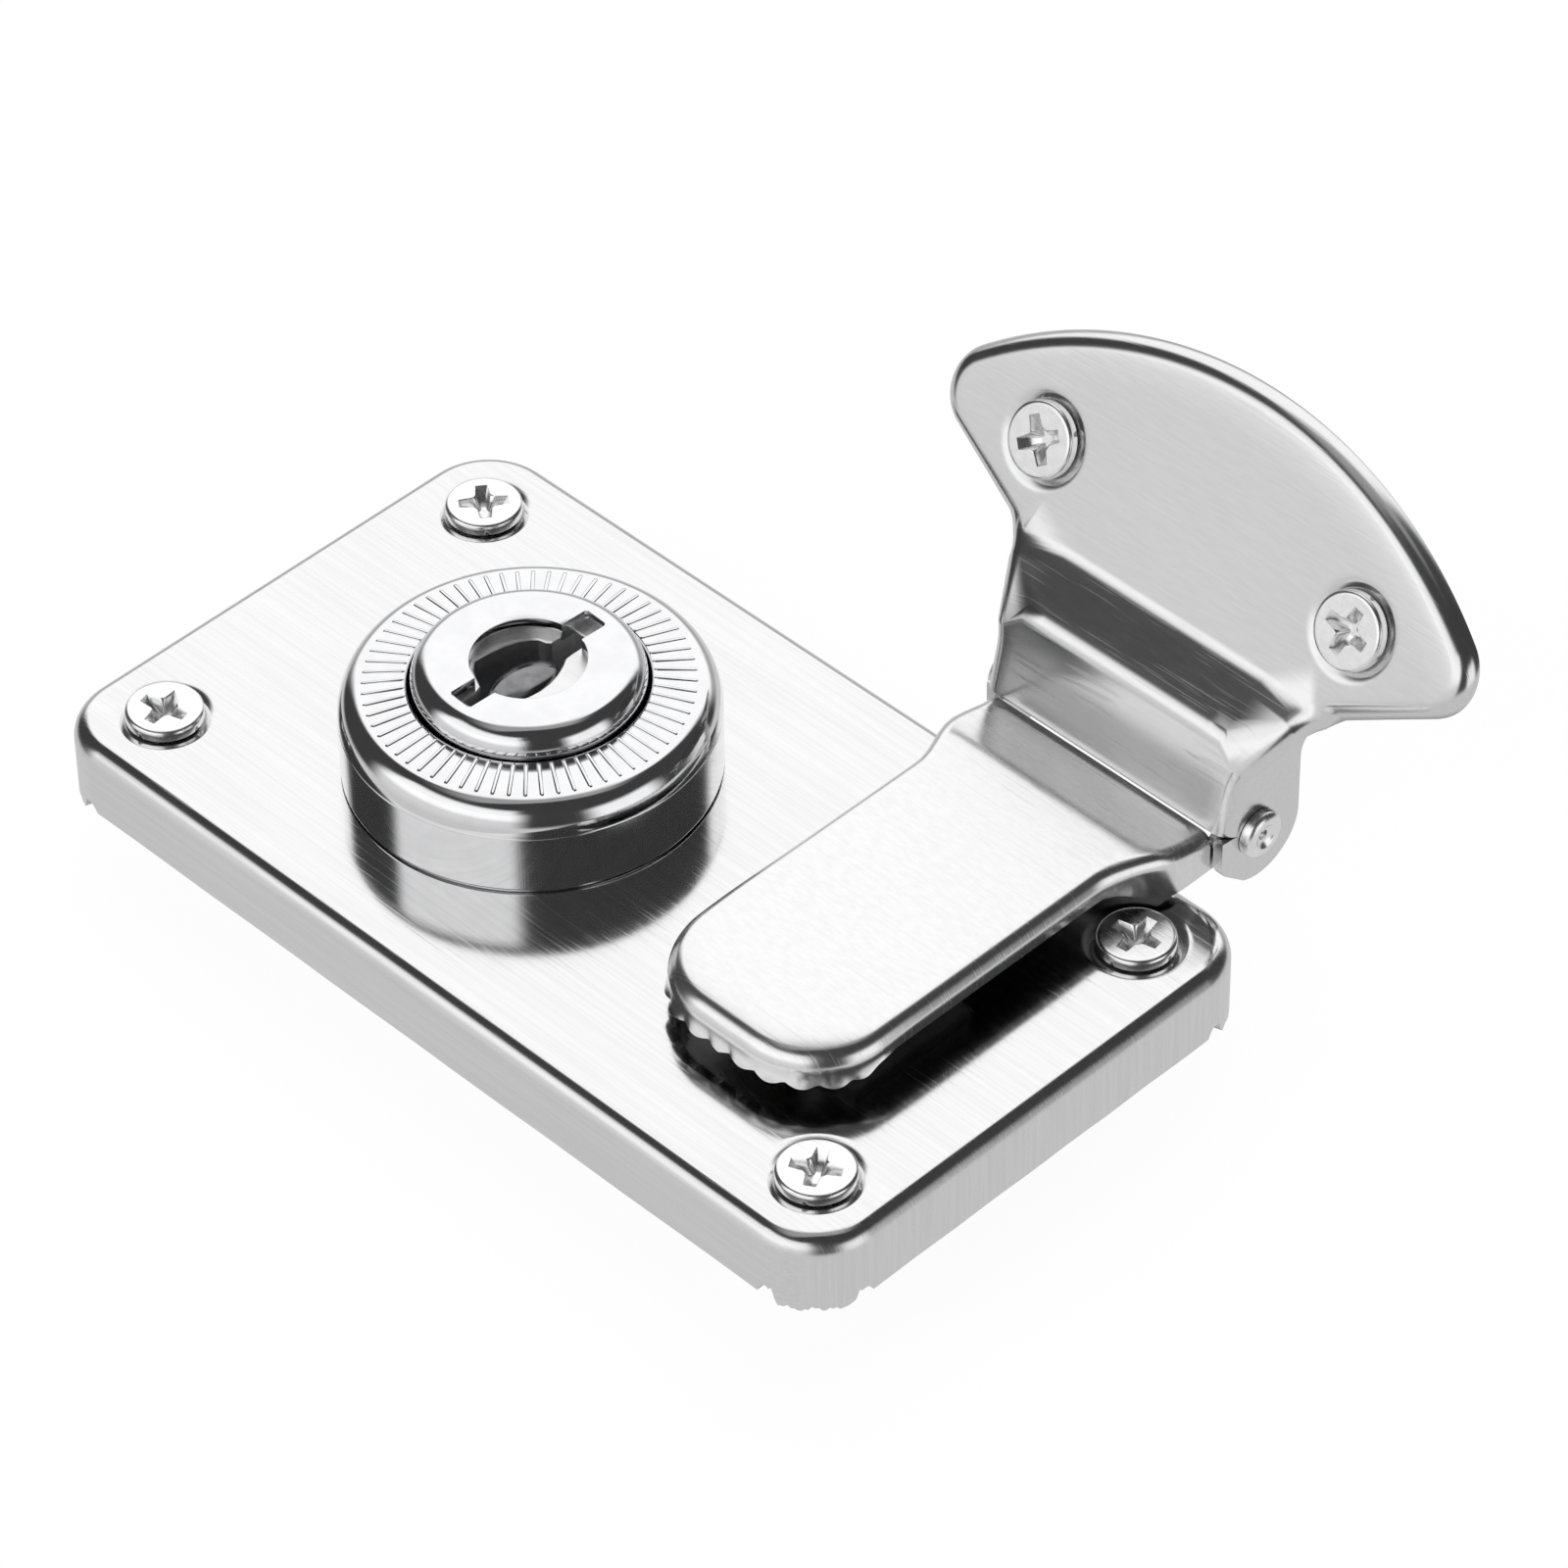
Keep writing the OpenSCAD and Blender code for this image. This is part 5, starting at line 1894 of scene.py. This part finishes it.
class Studio:
    """Camera, tent and floor.

    The camera looks at TARGET from AZIMUTH, ELEVATION and DISTANCE, and FOCUS is its focal length in the
    photo's pixels. GAPS is the brightness between the tent's panels.
    """

    PANELS = (
        Panel(0, 200, -90, -9, 0.66, 6),
        Panel(-141, 42, 10, 68, 1.22, 7),
        Panel(-141, 42, -9, 10, 0.42, 7),
        Panel(-3, 43, -9, 13, 0.78, 7),
        Panel(-3, 43, 13, 38, 1.25, 7),
        Panel(-4, 40, 38, 52, 1.05, 5),
        Panel(98, 20, -9, 28, 1.10, 7),
        Panel(-120, 110, 68, 100, 0.35, 8),
    )
    GAPS = 0.055
    TARGET = Vector((4.27, 10.535, TOP))
    AZIMUTH = 45.52
    ELEVATION = 42.778
    ROLL = -0.825
    DISTANCE = 563.3
    FOCUS = 7733.0
    PHOTO_WIDTH = 1600.0
    SENSOR = 36.0
    PAPER = (0.9, 0.9, 0.9, 1)
    GLOW = 1.08
    GLOW_SHARE = 0.88
    FLOOR_HALF = 3000.0

    def camera(self) -> None:
        """Puts the camera where the photo was taken from."""
        data = bpy.data.cameras.new("camera")
        data.sensor_width = self.SENSOR
        data.lens = self.FOCUS * data.sensor_width / self.PHOTO_WIDTH
        data.clip_start, data.clip_end = 0.01, 20
        obj = bpy.data.objects.new("camera", data)
        bpy.context.scene.collection.objects.link(obj)
        a, e = math.radians(self.AZIMUTH), math.radians(self.ELEVATION)
        back = Vector((math.sin(a) * math.cos(e), -math.cos(a) * math.cos(e), math.sin(e)))
        right = Vector((math.cos(a), math.sin(a), 0))
        up = back.cross(right)
        roll = math.radians(self.ROLL)
        c, s = math.cos(roll), math.sin(roll)
        right, up = right * c + up * s, up * c - right * s
        obj.matrix_world = Matrix((right, up, back)).transposed().to_4x4()
        obj.location = (self.TARGET + back * self.DISTANCE) * MM
        bpy.context.scene.camera = obj

    def tent(self) -> None:
        """Makes the world a tent of white panels with dark gaps, white behind the object."""
        world = bpy.data.worlds.new("tent")
        bpy.context.scene.world = world
        world.use_nodes = True
        graph = Graph(world.node_tree)
        direction = graph.node("ShaderNodeTexCoord").outputs["Generated"]
        parts = graph.node("ShaderNodeSeparateXYZ", {"Vector": direction}).outputs
        x, y, z = (Value(graph, parts[k]) for k in range(3))
        elevation = graph.value("ShaderNodeMath", {0: z}, operation="ARCSINE") * (180 / math.pi)
        azimuth = graph.value("ShaderNodeMath", {0: x, 1: y * -1}, operation="ARCTAN2")
        light = None
        for panel in self.PANELS:
            aside = azimuth - math.radians(panel.azimuth)
            cosine = graph.value("ShaderNodeMath", {0: aside}, operation="COSINE")
            away = graph.value("ShaderNodeMath", {0: cosine}, operation="ARCCOSINE") * (180 / math.pi)
            mask = away.step(panel.half - panel.soft, panel.half + panel.soft, 1, 0)
            mask = mask * elevation.step(panel.high - panel.soft, panel.high + panel.soft, 1, 0)
            if panel.low > -90:
                mask = mask * elevation.step(panel.low - panel.soft, panel.low + panel.soft)
            part = mask * panel.strength
            light = part if light is None else light + part
        light = light + self.GAPS
        seen = graph.value("ShaderNodeLightPath", output="Is Camera Ray")
        strength = light * (1 - seen) + seen
        background = graph.node("ShaderNodeBackground", {"Color": (1, 1, 1, 1), "Strength": strength})
        graph.node("ShaderNodeOutputWorld", {"Surface": background.outputs[0]})

    def floor(self) -> None:
        """Lays a white floor under the screws' points that keeps a faint shadow."""
        shape = Shape()
        low = min(mm_box("base_screws")[0].z, 0.0) - 0.05
        half = self.FLOOR_HALF
        shape.add(raised([(-half, -half), (half, -half), (half, half), (-half, half)], low), [[0, 1, 2, 3]])
        obj = link("floor", shape.mesh("floor", outward=False))
        material = bpy.data.materials.new("white_floor")
        material.use_nodes = True
        graph = Graph(material.node_tree)
        paper = graph.node("ShaderNodeBsdfDiffuse", {"Color": self.PAPER})
        glow = graph.node("ShaderNodeEmission", {"Color": (1, 1, 1, 1), "Strength": self.GLOW})
        mixed = graph.node("ShaderNodeMixShader", {
            0: self.GLOW_SHARE, 1: paper.outputs[0], 2: glow.outputs[0],
        })
        graph.node("ShaderNodeOutputMaterial", {"Surface": mixed.outputs[0]})
        obj.data.materials.append(material)
        obj.visible_glossy = False
        obj.visible_diffuse = False

    def build(self) -> None:
        """Builds the studio."""
        self.camera()
        self.tent()
        self.floor()
        bpy.context.scene.view_settings.view_transform = "Standard"


def build_screws(hinge: HingePlate, plate: BasePlate) -> None:
    """Builds one screw and sets it on all seats.

    Args:
        hinge: the hinge plate.
        plate: the base plate.
    """
    screw = link("cross_head_screw", Screw().build())
    screw.data.materials.append(ZINC.material())
    seats = raised(plate.screws(), TOP)
    up = Vector((0, 0, 1))
    ScrewSet("base_plate_screws", "base_screws", Body.BASE, seats, up, [12, -38, 30, 8]).build(screw)
    seats = [hinge.place(x, v, 0) for x, v in hinge.screws()]
    out = Matrix.Rotation(math.radians(hinge.face_tilt), 3, "X") @ up
    ScrewSet("hinge_plate_screws", "hinge_screws", Body.HINGE_PLATE, seats, out, [35, 78]).build(screw)
    bpy.data.objects.remove(screw)


def main() -> None:
    """Builds the hasp lock and its studio."""
    logging.basicConfig(level=logging.INFO, format="%(message)s")
    Studio().build()
    plate, arm, hinge = BasePlate(), Arm(), HingePlate()
    plate.build()
    arm.build()
    hinge.build()
    RoundLock().build()
    HingePin().build()
    build_screws(hinge, plate)
    Mechanism().build()


if __name__ == "__main__":
    main()
